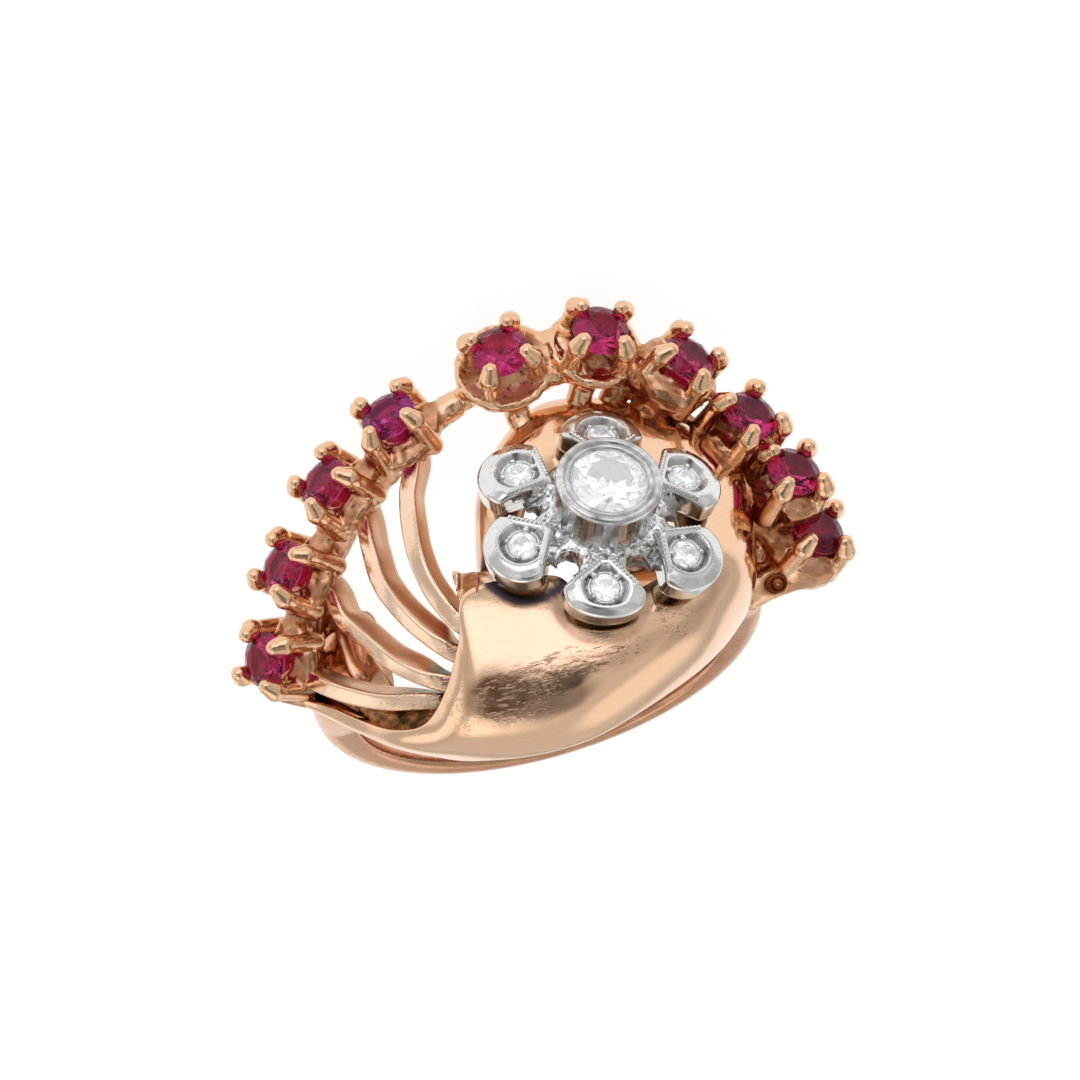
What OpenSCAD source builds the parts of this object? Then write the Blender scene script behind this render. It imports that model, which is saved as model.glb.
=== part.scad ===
// Cocktail ring: a hollow rose-gold scroll round a white-metal diamond flower, with four wires that
// fan out of the scroll's mouth and ten claw-set rubies in an arc round its outer side.
// The pieces are drawn in the worn frame: x across the finger, y along it and z out of it, with the
// origin at the middle of the finger hole. lay_down() turns that frame until the ring lies on the
// side that it rests on.

/* [Finger hoop] */
// Inside diameter of the hoop
finger_d = 17; // [16.6:0.1:17.2]
// Thickness of the hoop under the finger
hoop_bottom_t = 1.2; // [1:0.1:1.5]
// Thickness of the hoop at its two sides
hoop_side_t = 1.85; // [1.7:0.05:2.1]
// Width of the hoop under the finger
hoop_bottom_w = 3; // [2.4:0.1:3.4]
// Width of the hoop at its two sides
hoop_side_w = 3.3; // [3:0.1:3.6]
// Where the hoop ends on the side of the wires, in degrees above its middle
hoop_wire_end = 40; // [36:1:42]
// Where the hoop ends under the scroll, in degrees above its middle
hoop_scroll_end = 68; // [60:1:74]

// How far the hoop is turned out of line with the head, in degrees
hoop_turn = 3.5; // [0:0.5:5]

/* [Scroll] */
// Thickness of the scroll's wall
scroll_wall = 0.85; // [0.7:0.05:1]
// How full the scroll's section is, from flat to square
scroll_fullness = 0.64; // [0.58:0.01:0.7]

/* [Wires] */
// Width of each wire, as seen from above
wire_w = 0.85; // [0.7:0.05:1]
// Depth of each wire
wire_depth = 1.2; // [1:0.1:1.4]

/* [Rubies and cups] */
// Diameter of each ruby
ruby_d = 2.5; // [2.3:0.05:2.55]
// Diameter of a cup's rim
cup_rim_d = 4; // [3.6:0.1:4.2]
// Depth of a cup's rim below the girdle of its ruby
cup_rim_depth = 1.35; // [1.2:0.05:1.5]
// Diameter of a claw's ball tip
claw_tip_d = 0.84; // [0.76:0.02:0.9]

/* [Flower] */
// Diameter of the diamond in the middle
diamond_d = 3.7; // [3.4:0.05:3.75]
// Outside diameter of its bezel
bezel_d = 4.7; // [4.6:0.05:4.9]
// Height of the bezel's rim above the petals' diamonds
bezel_h = 2.4; // [2.2:0.1:2.6]
// Diameter of each petal's diamond
petal_diamond_d = 1.25; // [1.1:0.05:1.3]
// Width of a petal
petal_w = 3.3; // [3.1:0.1:3.4]
// Distance of a petal's diamond from the middle of the flower
petal_reach = 4.1; // [4:0.05:4.2]
// How far each petal slopes down outwards, in degrees
petal_droop = 14; // [10:1:18]

/* [Hidden] */

$fn = 48;
gold_colour = "#d8a27b";
white_metal_colour = "#c6c9c9";
diamond_colour = "#e6eef4";
ruby_colour = "#b51a50";

// Angles that turn the worn frame onto the side that the ring rests on
rest_tilt = 21.7;
rest_roll = -2.75;

finger_r = finger_d / 2;

// Flower: its middle at the height of the petals' diamonds, and how it leans
flower_at = [4.2, -0.5, 13];
flower_lean = 17;
flower_lean_to = 35;
flower_spin = -46;
petal_count = 6;
first_petal_at = 30;
petal_t = 0.85;
petal_rim_h = 0.28;
petal_rim_w = 0.5;
seat_r = 3.4;
seat_depth = 1.45;

// Rubies: the middle of each girdle, how far its cup leans, which way, and the turn of its claws
RUBY_X = 0;
RUBY_Y = 1;
RUBY_Z = 2;
RUBY_LEAN = 3;
RUBY_LEAN_TO = 4;
RUBY_SPIN = 5;
ruby_seats = [
    [-11.7, -1.3, 7.6, 46, 195, 80],
    [-10.0, 2.0, 9.4, 38, 172, 2],
    [-7.4, 4.8, 11.0, 34, 158, 1],
    [-4.0, 6.6, 12.4, 22, 135, 7],
    [1.4, 8.0, 13.3, 5, 90, 62],
    [5.9, 8.1, 12.9, 19, 15, 21],
    [9.4, 6.6, 11.2, 38, 12, 81],
    [11.5, 4.1, 9.4, 32, 10, 59],
    [12.8, 1.6, 8.1, 28, 15, 38],
    [13.3, -0.2, 5.5, 33, 5, 40]
];
claw_r = 0.33;
claw_ring_r = 1.6;
claw_tip_ring_r = 1.43;
claw_tip_rise = 0.45;

// Struts from a cup to the scroll: which cup, how deep below its girdle, the row and the share of the
// scroll's face where it ends, and the radius of both ends
STRUT_CUP = 0;
STRUT_DEPTH = 1;
STRUT_ROW = 2;
STRUT_SHARE = 3;
STRUT_CUP_R = 4;
STRUT_SCROLL_R = 5;
scroll_struts = [
    [4, 2.1, 20.6, 0.5, 0.63, 0.5],
    [5, 2.1, 19.3, 0.45, 0.64, 0.5],
    [6, 2.2, 18.1, 0.45, 0.66, 0.55],
    [7, 2.2, 17.1, 0.4, 0.61, 0.55],
    [8, 2.25, 16.3, 0.4, 0.64, 0.55],
    [9, 2.2, 15, 0.15, 0.66, 0.6]
];
// Struts from a cup to the shoulder: which cup, how deep, where it ends, and its radius at the cup
STRUT_TO = 2;
STRUT_TO_CUP_R = 3;
shoulder_struts = [
    [0, 2.15, [-8.9, -1.1, 4.8], 0.74],
    [1, 2.5, [-8.6, 0.1, 5.2], 0.62]
];
shoulder_strut_r = 0.6;
// Lip at the top of the scroll's mouth
lip_from = [-1.9, -2.9, 12.6];
lip_to = [-2.3, -2, 12.8];
lip_from_r = 0.55;
lip_to_r = 0.45;

// Wires: the middle of each wire's upper face, from inside the scroll's mouth out to its cup
wire_routes = [
    [[-3.6, -6.2, 9.2], [-5.2, -5.6, 9], [-7, -5, 8.5], [-8.5, -4, 7.9],
     [-9.8, -2.7, 7.2], [-10.5, -1.6, 6.7]],
    [[-3, -5.8, 9.9], [-4.2, -5.4, 10], [-5.2, -4.9, 10], [-6.3, -3.9, 9.9], [-7.2, -2.5, 9.6],
     [-8, -1.1, 9.3], [-8.3, 0.3, 8.9], [-8.6, 1.3, 8.3]],
    [[-2.6, -4.8, 10.5], [-3.4, -4.5, 10.7], [-4.2, -3.9, 10.9], [-5, -2.9, 11], [-5.7, -1.6, 11],
     [-6.1, -0.3, 10.9], [-6.2, 1.3, 10.7], [-6.2, 2.8, 10.3], [-6.3, 3.9, 9.8]],
    [[-2, -4.3, 11.4], [-2.9, -3.6, 11.6], [-3.6, -2.5, 11.8], [-4, -1.4, 11.9], [-4.2, -0.1, 12],
     [-4.2, 1.2, 12], [-4, 2.9, 11.9], [-3.5, 4.6, 11.5], [-3.5, 5.8, 11]]
];

// Hoop: the radius and the offset of its outer face, from its thickness at the bottom and the sides
hoop_low = finger_r + hoop_bottom_t;
hoop_side = finger_r + hoop_side_t;
hoop_outer_r = (hoop_low + hoop_side * hoop_side / hoop_low) / 2;
hoop_offset = hoop_outer_r - hoop_low;
hoop_crown_r = 2.6;
hoop_shoulder_front = 2.9;
hoop_shoulder_back = 1.2;
hoop_shoulder_z = 5.5;
solder_gap = 0.05;
stone_room = 1.02;

function lean_axis(lean, to) = [sin(lean) * cos(to), sin(lean) * sin(to), cos(lean)];
function flower_axis() = lean_axis(flower_lean, flower_lean_to);
function turned_x(lean, to, spin) =
    let (u = [cos(lean) * cos(to), cos(lean) * sin(to), -sin(lean)], v = cross(lean_axis(lean, to), u))
    cos(spin) * u + sin(spin) * v;

// Edge of the opening under the flower, on which the petals sit, at one angle round the flower
function seat_edge(angle) =
    let (u = turned_x(flower_lean, flower_lean_to, flower_spin), v = cross(flower_axis(), u))
    flower_at - seat_depth * flower_axis() + seat_r * (cos(angle) * u + sin(angle) * v);

// Scroll: a row for each section, from the tail at the wires' side, along the front, up the far side
// and round the back to the curled end. Each section runs from its foot, near the finger, round the
// corner that pulls it outwards, to its upper edge.
FOOT = 0;
CORNER = 1;
EDGE = 2;
scroll_sections = [
    [[-10.6, -2.3, 4.9], [-10.9, -2.9, 5.4], [-10.6, -2.8, 5.9]],
    [[-9.4, -3.5, 5.3], [-9.9, -4.2, 6.1], [-9.5, -3.7, 6.6]],
    [[-8, -5.1, 6.1], [-8.4, -5.9, 7], [-8.1, -5.2, 7.5]],
    [[-6.7, -6.5, 6.8], [-7, -7.4, 8.2], [-6.8, -6.5, 8.7]],
    [[-5.3, -7.6, 7.5], [-5.5, -8.6, 9.6], [-5.4, -7.1, 10]],
    [[-4.2, -8.3, 8], [-4.3, -9.2, 11.4], [-4.2, -6.4, 11.5]],
    [[-3, -8.8, 8.5], [-3.1, -9.5, 12.6], [-3.2, -4.9, 12.6]],
    [[-1.6, -9.1, 8.7], [-1.7, -9.7, 13.2], [-2.3, -2.8, 13.1]],
    [[-0.1, -9.2, 8.8], [-0.1, -9.7, 13.4], seat_edge(228)],
    [[1.7, -9, 8.8], [1.6, -9.5, 13.4], seat_edge(252)],
    [[3.6, -8.3, 8.6], [3.6, -8.9, 13.3], seat_edge(272)],
    [[5.4, -7.3, 8], [5.7, -8, 12.9], seat_edge(290)],
    [[7.2, -6, 7.1], [7.8, -6.7, 12.1], seat_edge(308)],
    [[8.7, -4.3, 5.9], [9.4, -5, 11.3], seat_edge(326)],
    [[9.8, -2.4, 4.9], [10.5, -2.8, 10.6], seat_edge(345)],
    [[10.2, 0, 4.6], [10.9, -0.2, 10], seat_edge(368)],
    [[10, 2.2, 5], [10.6, 2.6, 9.9], seat_edge(392)],
    [[8.8, 4.4, 6.4], [9.3, 5, 10.3], seat_edge(415)],
    [[7, 6, 7.6], [7.2, 6.7, 10.7], seat_edge(435)],
    [[4.8, 6.8, 8.5], [4.8, 7.3, 11], seat_edge(455)],
    [[2.5, 6.7, 9], [2.4, 7.1, 11.8], seat_edge(475)],
    [[0.6, 5.3, 9.3], [0.4, 5.6, 12.2], seat_edge(497)],
    [[-0.9, 3.1, 9.4], [-1.2, 3.2, 12.6], seat_edge(520)],
    [[-1.5, 0.6, 9.5], [-1.9, 0.6, 12.9], seat_edge(543)],
    [[-1.7, -1.4, 9.6], [-2.2, -1.3, 13.1], seat_edge(563)]
];
scroll_steps_along = 2;
scroll_steps_across = 7;

// A smooth curve through the middle two of four points, at t from 0 to 1
function through(a, b, c, d, t) =
    0.5 * (2 * b + (c - a) * t + (2 * a - 5 * b + 4 * c - d) * t * t + (3 * b - a - 3 * c + d) * t * t * t);
function held(i, last) = min(max(i, 0), last);
function along_rows(rows, column, s) =
    let (last = len(rows) - 1, i = min(floor(s), last - 1))
    through(rows[held(i - 1, last)][column], rows[i][column], rows[i + 1][column],
            rows[held(i + 2, last)][column], s - i);
// A point of the scroll's outer face, s rows along it and t of the way from its foot to its edge
function scroll_point(s, t) =
    let (foot = along_rows(scroll_sections, FOOT, s), corner = along_rows(scroll_sections, CORNER, s),
         edge = along_rows(scroll_sections, EDGE, s), r = 1 - t,
         a = foot + scroll_fullness * (corner - foot), b = edge + scroll_fullness * (corner - edge))
    r * r * r * foot + 3 * r * r * t * a + 3 * r * t * t * b + t * t * t * edge;
function unit(v) = v / norm(v);
function scroll_normal(s, t) =
    let (rows = len(scroll_sections) - 1, ds = 0.02, dt = 0.01)
    unit(cross(scroll_point(min(s + ds, rows), t) - scroll_point(max(s - ds, 0), t),
               scroll_point(s, min(t + dt, 1)) - scroll_point(s, max(t - dt, 0))));
function scroll_inner_point(s, t) = scroll_point(s, t) - scroll_wall * scroll_normal(s, t);

function cup_axis(k) = lean_axis(ruby_seats[k][RUBY_LEAN], ruby_seats[k][RUBY_LEAN_TO]);
function girdle_at(k) = [ruby_seats[k][RUBY_X], ruby_seats[k][RUBY_Y], ruby_seats[k][RUBY_Z]];
function cup_point(k, depth) = girdle_at(k) - depth * cup_axis(k);

// Turns the worn frame so that the ring lies on the side that it rests on
module lay_down() {
    rotate([0, rest_roll, 0]) rotate([rest_tilt - 90, 0, 0]) children();
}

module at_ruby(k) {
    seat = ruby_seats[k];
    translate(girdle_at(k)) rotate([0, seat[RUBY_LEAN], seat[RUBY_LEAN_TO]])
        rotate(seat[RUBY_SPIN]) children();
}

module at_flower() {
    translate(flower_at) rotate([0, flower_lean, flower_lean_to]) rotate(flower_spin) children();
}

module at_petal(k) {
    at_flower() rotate(first_petal_at + 360 / petal_count * k)
        translate([petal_reach, 0, 0]) rotate([0, petal_droop, 0]) children();
}

// Half-round band with a true round finger hole, wider and thicker towards its shoulders, or the
// same band grown all round by a margin
module hoop_band(margin) {
    front = hoop_shoulder_front + margin;
    back = hoop_shoulder_back + margin;
    bottom = hoop_bottom_w / 2 + margin;
    side = hoop_side_w / 2 + margin;
    wire_end = hoop_wire_end + margin / finger_r * 180 / PI;
    scroll_end = hoop_scroll_end + margin / finger_r * 180 / PI;
    slant_foot = [back - 0.7, 4.2];
    slant_top = [margin - 1.4, 5.7];
    far = 14;
    rotate(hoop_turn) intersection() {
        difference() {
            translate([0, 0, hoop_offset]) rotate([90, 0, 0]) rotate_extrude($fn = 72)
                intersection() {
                    translate([hoop_outer_r + margin - hoop_crown_r, 0]) circle(hoop_crown_r, $fn = 24);
                    translate([0, -hoop_crown_r]) square([hoop_outer_r + margin, 2 * hoop_crown_r]);
                }
            rotate([90, 0, 0]) cylinder(r = finger_r - margin, h = 2 * far, center = true, $fn = 72);
            translate([-far, 0, 0]) rotate([90, 0, 90]) linear_extrude(far)
                polygon([slant_foot, slant_top, [slant_top[0], far], [far, far], [far, slant_foot[1]]]);
        }
        rotate([90, 0, 90]) linear_extrude(2 * far, center = true)
            polygon([[-bottom, -far], [bottom, -far], [side, 0], [back, hoop_shoulder_z], [back, far],
                     [-front, far], [-front, hoop_shoulder_z], [-side, 0]]);
        rotate([90, 0, 0]) linear_extrude(2 * far, center = true)
            polygon([[0, 0], [-far * cos(wire_end), far * sin(wire_end)], [-2 * far, 0], [-far, -far],
                     [far, -far], [2 * far, 0], [far * cos(scroll_end), far * sin(scroll_end)]]);
    }
}

// Hollow scroll: a wall of even thickness, with its mouth open towards the wires
module scroll() {
    rows = len(scroll_sections) - 1;
    count_s = rows * scroll_steps_along;
    count_t = scroll_steps_across;
    ring = count_t + 1;
    outer = [for (i = [0:count_s], j = [0:count_t])
        scroll_point(i / scroll_steps_along, j / count_t)];
    inner = [for (i = [0:count_s], j = [0:count_t])
        scroll_inner_point(i / scroll_steps_along, j / count_t)];
    half = len(outer);
    function quad(a, b, c, d) = [[a, b, c], [a, c, d]];
    faces = [
        for (i = [0:count_s - 1], j = [0:count_t - 1])
            let (p = i * ring + j)
            each concat(quad(p, p + 1, p + ring + 1, p + ring),
                        quad(half + p, half + p + ring, half + p + ring + 1, half + p + 1)),
        for (i = [0:count_s - 1])
            let (p = i * ring, q = p + count_t)
            each concat(quad(p, p + ring, half + p + ring, half + p),
                        quad(q, half + q, half + q + ring, q + ring)),
        for (j = [0:count_t - 1])
            let (q = count_s * ring + j)
            each concat(quad(j, half + j, half + j + 1, j + 1),
                        quad(q, q + 1, half + q + 1, half + q))
    ];
    polyhedron(concat(outer, inner), faces);
}

// One wire: a bar of rounded section that follows its route, with its upper face on the route
module wire(route) {
    steps = 2;
    view_axis = [0, -0.42, 0.91];
    last = len(route) - 1;
    rows = [for (p = route) [p]];
    count = last * steps;
    corner_reach = 1.23;
    corner_turn = 6;
    upper_face = 0.9;
    ds = 0.05;
    section = [for (a = [45:90:315], turn = [-corner_turn, corner_turn])
        corner_reach * [cos(a + turn), sin(a + turn)]];
    sides = len(section);
    points = [
        for (i = [0:count])
            let (s = i / steps, p = along_rows(rows, 0, s),
                 ahead = unit(along_rows(rows, 0, min(s + ds, last)) - along_rows(rows, 0, max(s - ds, 0))),
                 side = unit(cross(ahead, view_axis)), up = cross(side, ahead))
            for (c = section) p + c[0] * wire_w / 2 * side + (c[1] - upper_face) * wire_depth / 2 * up
    ];
    faces = concat(
        [[for (k = [sides - 1:-1:0]) k]],
        [for (i = [0:count - 1], k = [0:sides - 1])
            [i * sides + k, i * sides + (k + 1) % sides,
             (i + 1) * sides + (k + 1) % sides, (i + 1) * sides + k]],
        [[for (k = [0:sides - 1]) count * sides + k]]
    );
    polyhedron(points, faces);
}

// One claw: a post beside the stone and a round tip that leans over its edge. A row for each ring,
// from the foot up: how far out it lies, its height and its radius.
module claw() {
    OUT = 0;
    HEIGHT = 1;
    RADIUS = 2;
    tip_r = claw_tip_d / 2;
    rings = [
        [claw_ring_r, -cup_rim_depth - 0.15, claw_r],
        [claw_ring_r, 0.1, claw_r],
        [claw_tip_ring_r, claw_tip_rise - 0.12, tip_r],
        [claw_tip_ring_r, claw_tip_rise + 0.12, 0.95 * tip_r],
        [claw_tip_ring_r, claw_tip_rise + 0.34, 0.55 * tip_r]
    ];
    sides = 6;
    last = len(rings) - 1;
    points = [for (ring = rings, k = [0:sides - 1])
        [ring[OUT] + ring[RADIUS] * cos(360 / sides * k),
         ring[RADIUS] * sin(360 / sides * k), ring[HEIGHT]]];
    faces = concat(
        [[for (k = [0:sides - 1]) k]],
        [for (i = [0:last - 1], k = [0:sides - 1])
            [i * sides + k, (i + 1) * sides + k,
             (i + 1) * sides + (k + 1) % sides, i * sides + (k + 1) % sides]],
        [[for (k = [sides - 1:-1:0]) last * sides + k]]
    );
    polyhedron(points, faces);
}

// Cup of one ruby: a seat, a wide rim and a tapering foot, hollow under the stone, with four claws
module cup(k) {
    collar_depth = 0.3;
    seat_in = ruby_d / 2 - 0.05;
    seat_out = ruby_d / 2 + 0.12;
    rim_h = 0.3;
    foot_depth = 2.8;
    foot_r = 1.05;
    hollow_depth = 1.7;
    at_ruby(k) {
        rotate_extrude($fn = 15)
            polygon([[seat_in, -collar_depth], [seat_out, -collar_depth], [cup_rim_d / 2, -cup_rim_depth],
                     [cup_rim_d / 2, -cup_rim_depth - rim_h], [foot_r, -foot_depth], [0, -foot_depth],
                     [0, -hollow_depth]]);
        for (a = [0:90:270]) rotate(a) claw();
    }
}

// A strut between two points, thinner or thicker towards its end
module strut(from, to, from_r, to_r) {
    hull() {
        translate(from) sphere(from_r, $fn = 8);
        translate(to) sphere(to_r, $fn = 8);
    }
}

// Everything that carries the cups: struts from cup to cup, to the scroll and to the shoulder of the
// hoop at the wires' side, and the short lip at the top of the scroll's mouth
module cup_struts() {
    from_depth = 1.65;
    to_depth = 1.8;
    link_r = 0.62;
    for (k = [0:len(ruby_seats) - 2])
        strut(cup_point(k, from_depth), cup_point(k + 1, to_depth), link_r, link_r);
    for (row = scroll_struts)
        strut(cup_point(row[STRUT_CUP], row[STRUT_DEPTH]),
              scroll_inner_point(row[STRUT_ROW], row[STRUT_SHARE]), row[STRUT_CUP_R], row[STRUT_SCROLL_R]);
    for (row = shoulder_struts)
        strut(cup_point(row[STRUT_CUP], row[STRUT_DEPTH]), row[STRUT_TO],
              row[STRUT_TO_CUP_R], shoulder_strut_r);
    strut(lip_from, lip_to, lip_from_r, lip_to_r);
}

// Smooth flare that carries the last cup from the shoulder under the scroll
module far_shoulder() {
    hull() {
        translate([9.6, -1.9, 4.4]) sphere(0.7, $fn = 10);
        translate([9.8, 0.6, 3.6]) sphere(0.7, $fn = 10);
        translate([12.7, -1.3, 4]) sphere(0.55, $fn = 10);
        translate(cup_point(9, 2.4)) sphere(0.8, $fn = 10);
    }
}

// Cut stone: a table, a crown of flat facets, a thin girdle and a pointed pavilion
module cut_stone(d, crown_h, pavilion_h, sides) {
    girdle_h = 0.04 * d;
    table_share = 0.56;
    hull() {
        translate([0, 0, crown_h - 0.01]) cylinder(d = table_share * d, h = 0.01, $fn = sides / 2);
        rotate(180 / sides) translate([0, 0, -girdle_h / 2]) cylinder(d = d, h = girdle_h, $fn = sides);
        translate([0, 0, -pavilion_h]) cylinder(d = 0.04 * d, h = 0.01, $fn = 4);
    }
}

// Ruby or petal diamond, with its girdle in the middle
module small_stone(d) {
    cut_stone(d, 0.17 * d, 0.4 * d, 16);
}

module ruby(k) {
    color(ruby_colour) lay_down() at_ruby(k) small_stone(ruby_d);
}

centre_girdle_z = bezel_h - 0.45;

module centre_diamond() {
    color(diamond_colour) lay_down() at_flower() translate([0, 0, centre_girdle_z])
        cut_stone(diamond_d, 0.15 * diamond_d, 0.42 * diamond_d, 16);
}

module petal_diamond(k) {
    color(diamond_colour) lay_down() at_petal(k) small_stone(petal_diamond_d);
}

// Tall round tube that holds the middle diamond
module bezel() {
    foot_z = -1.5;
    foot_taper = 0.3;
    shoulder_h = 0.25;
    lip_lap = 0.18;
    lip_drop = 0.12;
    girdle_room = 0.06;
    groove_h = 0.13;
    seat_lap = 0.3;
    outer_r = bezel_d / 2;
    stone_r = diamond_d / 2;
    rotate_extrude()
        polygon([[outer_r - foot_taper, foot_z], [outer_r, bezel_h - shoulder_h],
                 [outer_r - girdle_room, bezel_h], [stone_r - lip_lap, bezel_h - lip_drop],
                 [stone_r + girdle_room, centre_girdle_z + groove_h],
                 [stone_r + girdle_room, centre_girdle_z - groove_h],
                 [stone_r - seat_lap, centre_girdle_z - seat_lap - groove_h],
                 [stone_r - seat_lap, foot_z]]);
}

// One petal: a round-ended plate with a raised rim, hollowed round its diamond
module petal() {
    neck = petal_reach - bezel_d / 2 + 0.25;
    neck_w = 0.9 * petal_w;
    hollow_w = neck_w - 2 * petal_rim_w;
    stone_room_r = petal_diamond_d / 2 + 0.08;
    stone_room_h = petal_diamond_d + 0.08;
    difference() {
        translate([0, 0, -petal_t]) linear_extrude(petal_t + petal_rim_h) union() {
            circle(d = petal_w);
            translate([-neck, -neck_w / 2]) square([neck, neck_w]);
        }
        linear_extrude(1) union() {
            circle(d = petal_w - 2 * petal_rim_w);
            translate([-neck, -hollow_w / 2]) square([neck, hollow_w]);
        }
        translate([0, 0, -petal_diamond_d]) cylinder(r1 = 0.15, r2 = stone_room_r, h = stone_room_h);
    }
}

module flower_setting() {
    color(white_metal_colour) lay_down() {
        at_flower() bezel();
        for (k = [0:petal_count - 1]) at_petal(k) petal();
    }
}

module hoop() {
    color(gold_colour) lay_down() hoop_band(0);
}

// All that is soldered up into the head: the scroll, its wires, the cups and what carries them. The
// cup beside the last ruby leans over it, and is cut away there.
module scroll_mount() {
    color(gold_colour) lay_down() difference() {
        union() {
            scroll();
            for (route = wire_routes) wire(route);
            for (k = [0:len(ruby_seats) - 1]) cup(k);
            cup_struts();
            far_shoulder();
        }
        hoop_band(solder_gap);
        at_ruby(len(ruby_seats) - 1) scale(stone_room) small_stone(ruby_d);
        rotate([90, 0, hoop_turn]) cylinder(r = finger_r + solder_gap, h = 40, center = true, $fn = 72);
    }
}

hoop();
scroll_mount();
flower_setting();
centre_diamond();
petal_diamond(0);  // petal_diamond_1
petal_diamond(1);  // petal_diamond_2
petal_diamond(2);  // petal_diamond_3
petal_diamond(3);  // petal_diamond_4
petal_diamond(4);  // petal_diamond_5
petal_diamond(5);  // petal_diamond_6
ruby(0);  // ruby_1
ruby(1);  // ruby_2
ruby(2);  // ruby_3
ruby(3);  // ruby_4
ruby(4);  // ruby_5
ruby(5);  // ruby_6
ruby(6);  // ruby_7
ruby(7);  // ruby_8
ruby(8);  // ruby_9
ruby(9);  // ruby_10
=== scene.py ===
"""Cocktail ring, dressed for the studio.

A hollow rose-gold scroll wraps round a white-metal diamond flower, four bars fan out of its mouth, and
ten claw-set rubies stand in an arc round its outer side. Shapes are worked out in millimetres in the
worn frame (x across the finger, y along it, z out of it, origin at the middle of the finger hole) and
are then laid down onto the side that the ring rests on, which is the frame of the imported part.
"""

import logging
from dataclasses import dataclass, field
from enum import Enum
from itertools import combinations
from math import cos, pi, radians, sin
from typing import Any, Callable, Sequence

import bpy
import numpy as np
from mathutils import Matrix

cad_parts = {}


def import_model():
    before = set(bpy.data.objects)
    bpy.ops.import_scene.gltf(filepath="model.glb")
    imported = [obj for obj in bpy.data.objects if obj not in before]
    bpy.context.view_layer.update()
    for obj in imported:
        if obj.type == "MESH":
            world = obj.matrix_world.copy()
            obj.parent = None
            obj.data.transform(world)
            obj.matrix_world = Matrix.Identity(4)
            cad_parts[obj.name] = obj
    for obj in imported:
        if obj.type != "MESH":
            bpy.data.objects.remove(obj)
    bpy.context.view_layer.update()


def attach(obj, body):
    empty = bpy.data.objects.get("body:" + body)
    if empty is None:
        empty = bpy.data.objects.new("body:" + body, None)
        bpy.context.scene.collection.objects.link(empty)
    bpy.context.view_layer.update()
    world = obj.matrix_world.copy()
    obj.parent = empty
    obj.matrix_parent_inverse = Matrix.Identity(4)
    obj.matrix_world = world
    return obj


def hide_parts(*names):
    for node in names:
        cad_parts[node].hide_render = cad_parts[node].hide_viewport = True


Array = np.ndarray
Field = Callable[[Array], Array]
Spot = tuple[float, float, float]
Profile = tuple[tuple[float, float], ...]
Piece = bpy.types.Object
Tree = bpy.types.NodeTree
Socket = bpy.types.NodeSocket
LOG = logging.getLogger("ring")
MM = 0.001
BODY = "root"


# Frames and curves


def rotation(axis: int, degrees: float) -> Array:
    """Matrix that turns a point about one axis.

    Args:
        axis: 0 for x, 1 for y or 2 for z.
        degrees: The turn, right-handed.

    Returns:
        A 3 by 3 matrix.
    """
    a, b = (axis + 1) % 3, (axis + 2) % 3
    turn = np.eye(3)
    turn[a, a] = turn[b, b] = cos(radians(degrees))
    turn[b, a] = sin(radians(degrees))
    turn[a, b] = -turn[b, a]
    return turn


REST_TILT = 21.7
REST_ROLL = -2.75
LAY_DOWN = rotation(1, REST_ROLL) @ rotation(0, REST_TILT - 90)


def laid_down(points: Array) -> Array:
    """Points of the worn frame in millimetres, turned onto the resting side, in metres."""
    return points @ LAY_DOWN.T * MM


def unit(vectors: Array) -> Array:
    """Vectors of length one, in the same directions."""
    return vectors / np.linalg.norm(vectors, axis=-1, keepdims=True)


def eased(low: float, high: float, value: Array) -> Array:
    """Smooth step: 0 below low, 1 above high, and 3t^2 - 2t^3 between them."""
    t = np.clip((value - low) / (high - low), 0, 1)
    return t * t * (3 - 2 * t)


def faded(low: float, high: float, value: Array) -> Array:
    """Smooth step down: 1 below low and 0 above high."""
    return 1 - eased(low, high, value)


def band(rise: tuple[float, float], fall: tuple[float, float], value: Array) -> Array:
    """Smooth band: 0, then up over the rise to 1, and down over the fall to 0 again."""
    return eased(*rise, value) * faded(*fall, value)


def near(points: Array, centre: Sequence[float], reach: Sequence[float]) -> Array:
    """Smooth patch: 1 at a centre and 0 outside an ellipsoid round it.

    Args:
        points: Worn-frame points, in millimetres.
        centre: The middle of the patch.
        reach: Its three half-widths.

    Returns:
        One number for each point.
    """
    gap = np.linalg.norm((points - np.array(centre)) / np.array(reach), axis=-1)
    return faded(0.45, 1.0, gap)


RIPPLE_WAVES = 5
RIPPLE_PEAK = 2.2


def ripple(points: Array, size: float, seed: int = 0) -> Array:
    """Smooth lumps: a sum of sine products along turned axes, about from -1 to 1.

    Args:
        points: Worn-frame points, in millimetres.
        size: How far apart the lumps are, in millimetres.
        seed: Which pattern.

    Returns:
        One number for each point.
    """
    random = np.random.default_rng(seed)
    total = np.zeros(points.shape[:-1], np.float32)
    for _ in range(RIPPLE_WAVES):
        axes = random.normal(size=(2, 3))
        axes /= np.linalg.norm(axes, axis=1, keepdims=True)
        phase = random.uniform(0, 2 * pi, 2)
        waves = points @ (axes.T * 2 * pi / size / random.uniform(0.7, 1.4)) + phase
        total += np.sin(waves[..., 0]) * np.sin(waves[..., 1])
    return total / RIPPLE_PEAK


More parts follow.
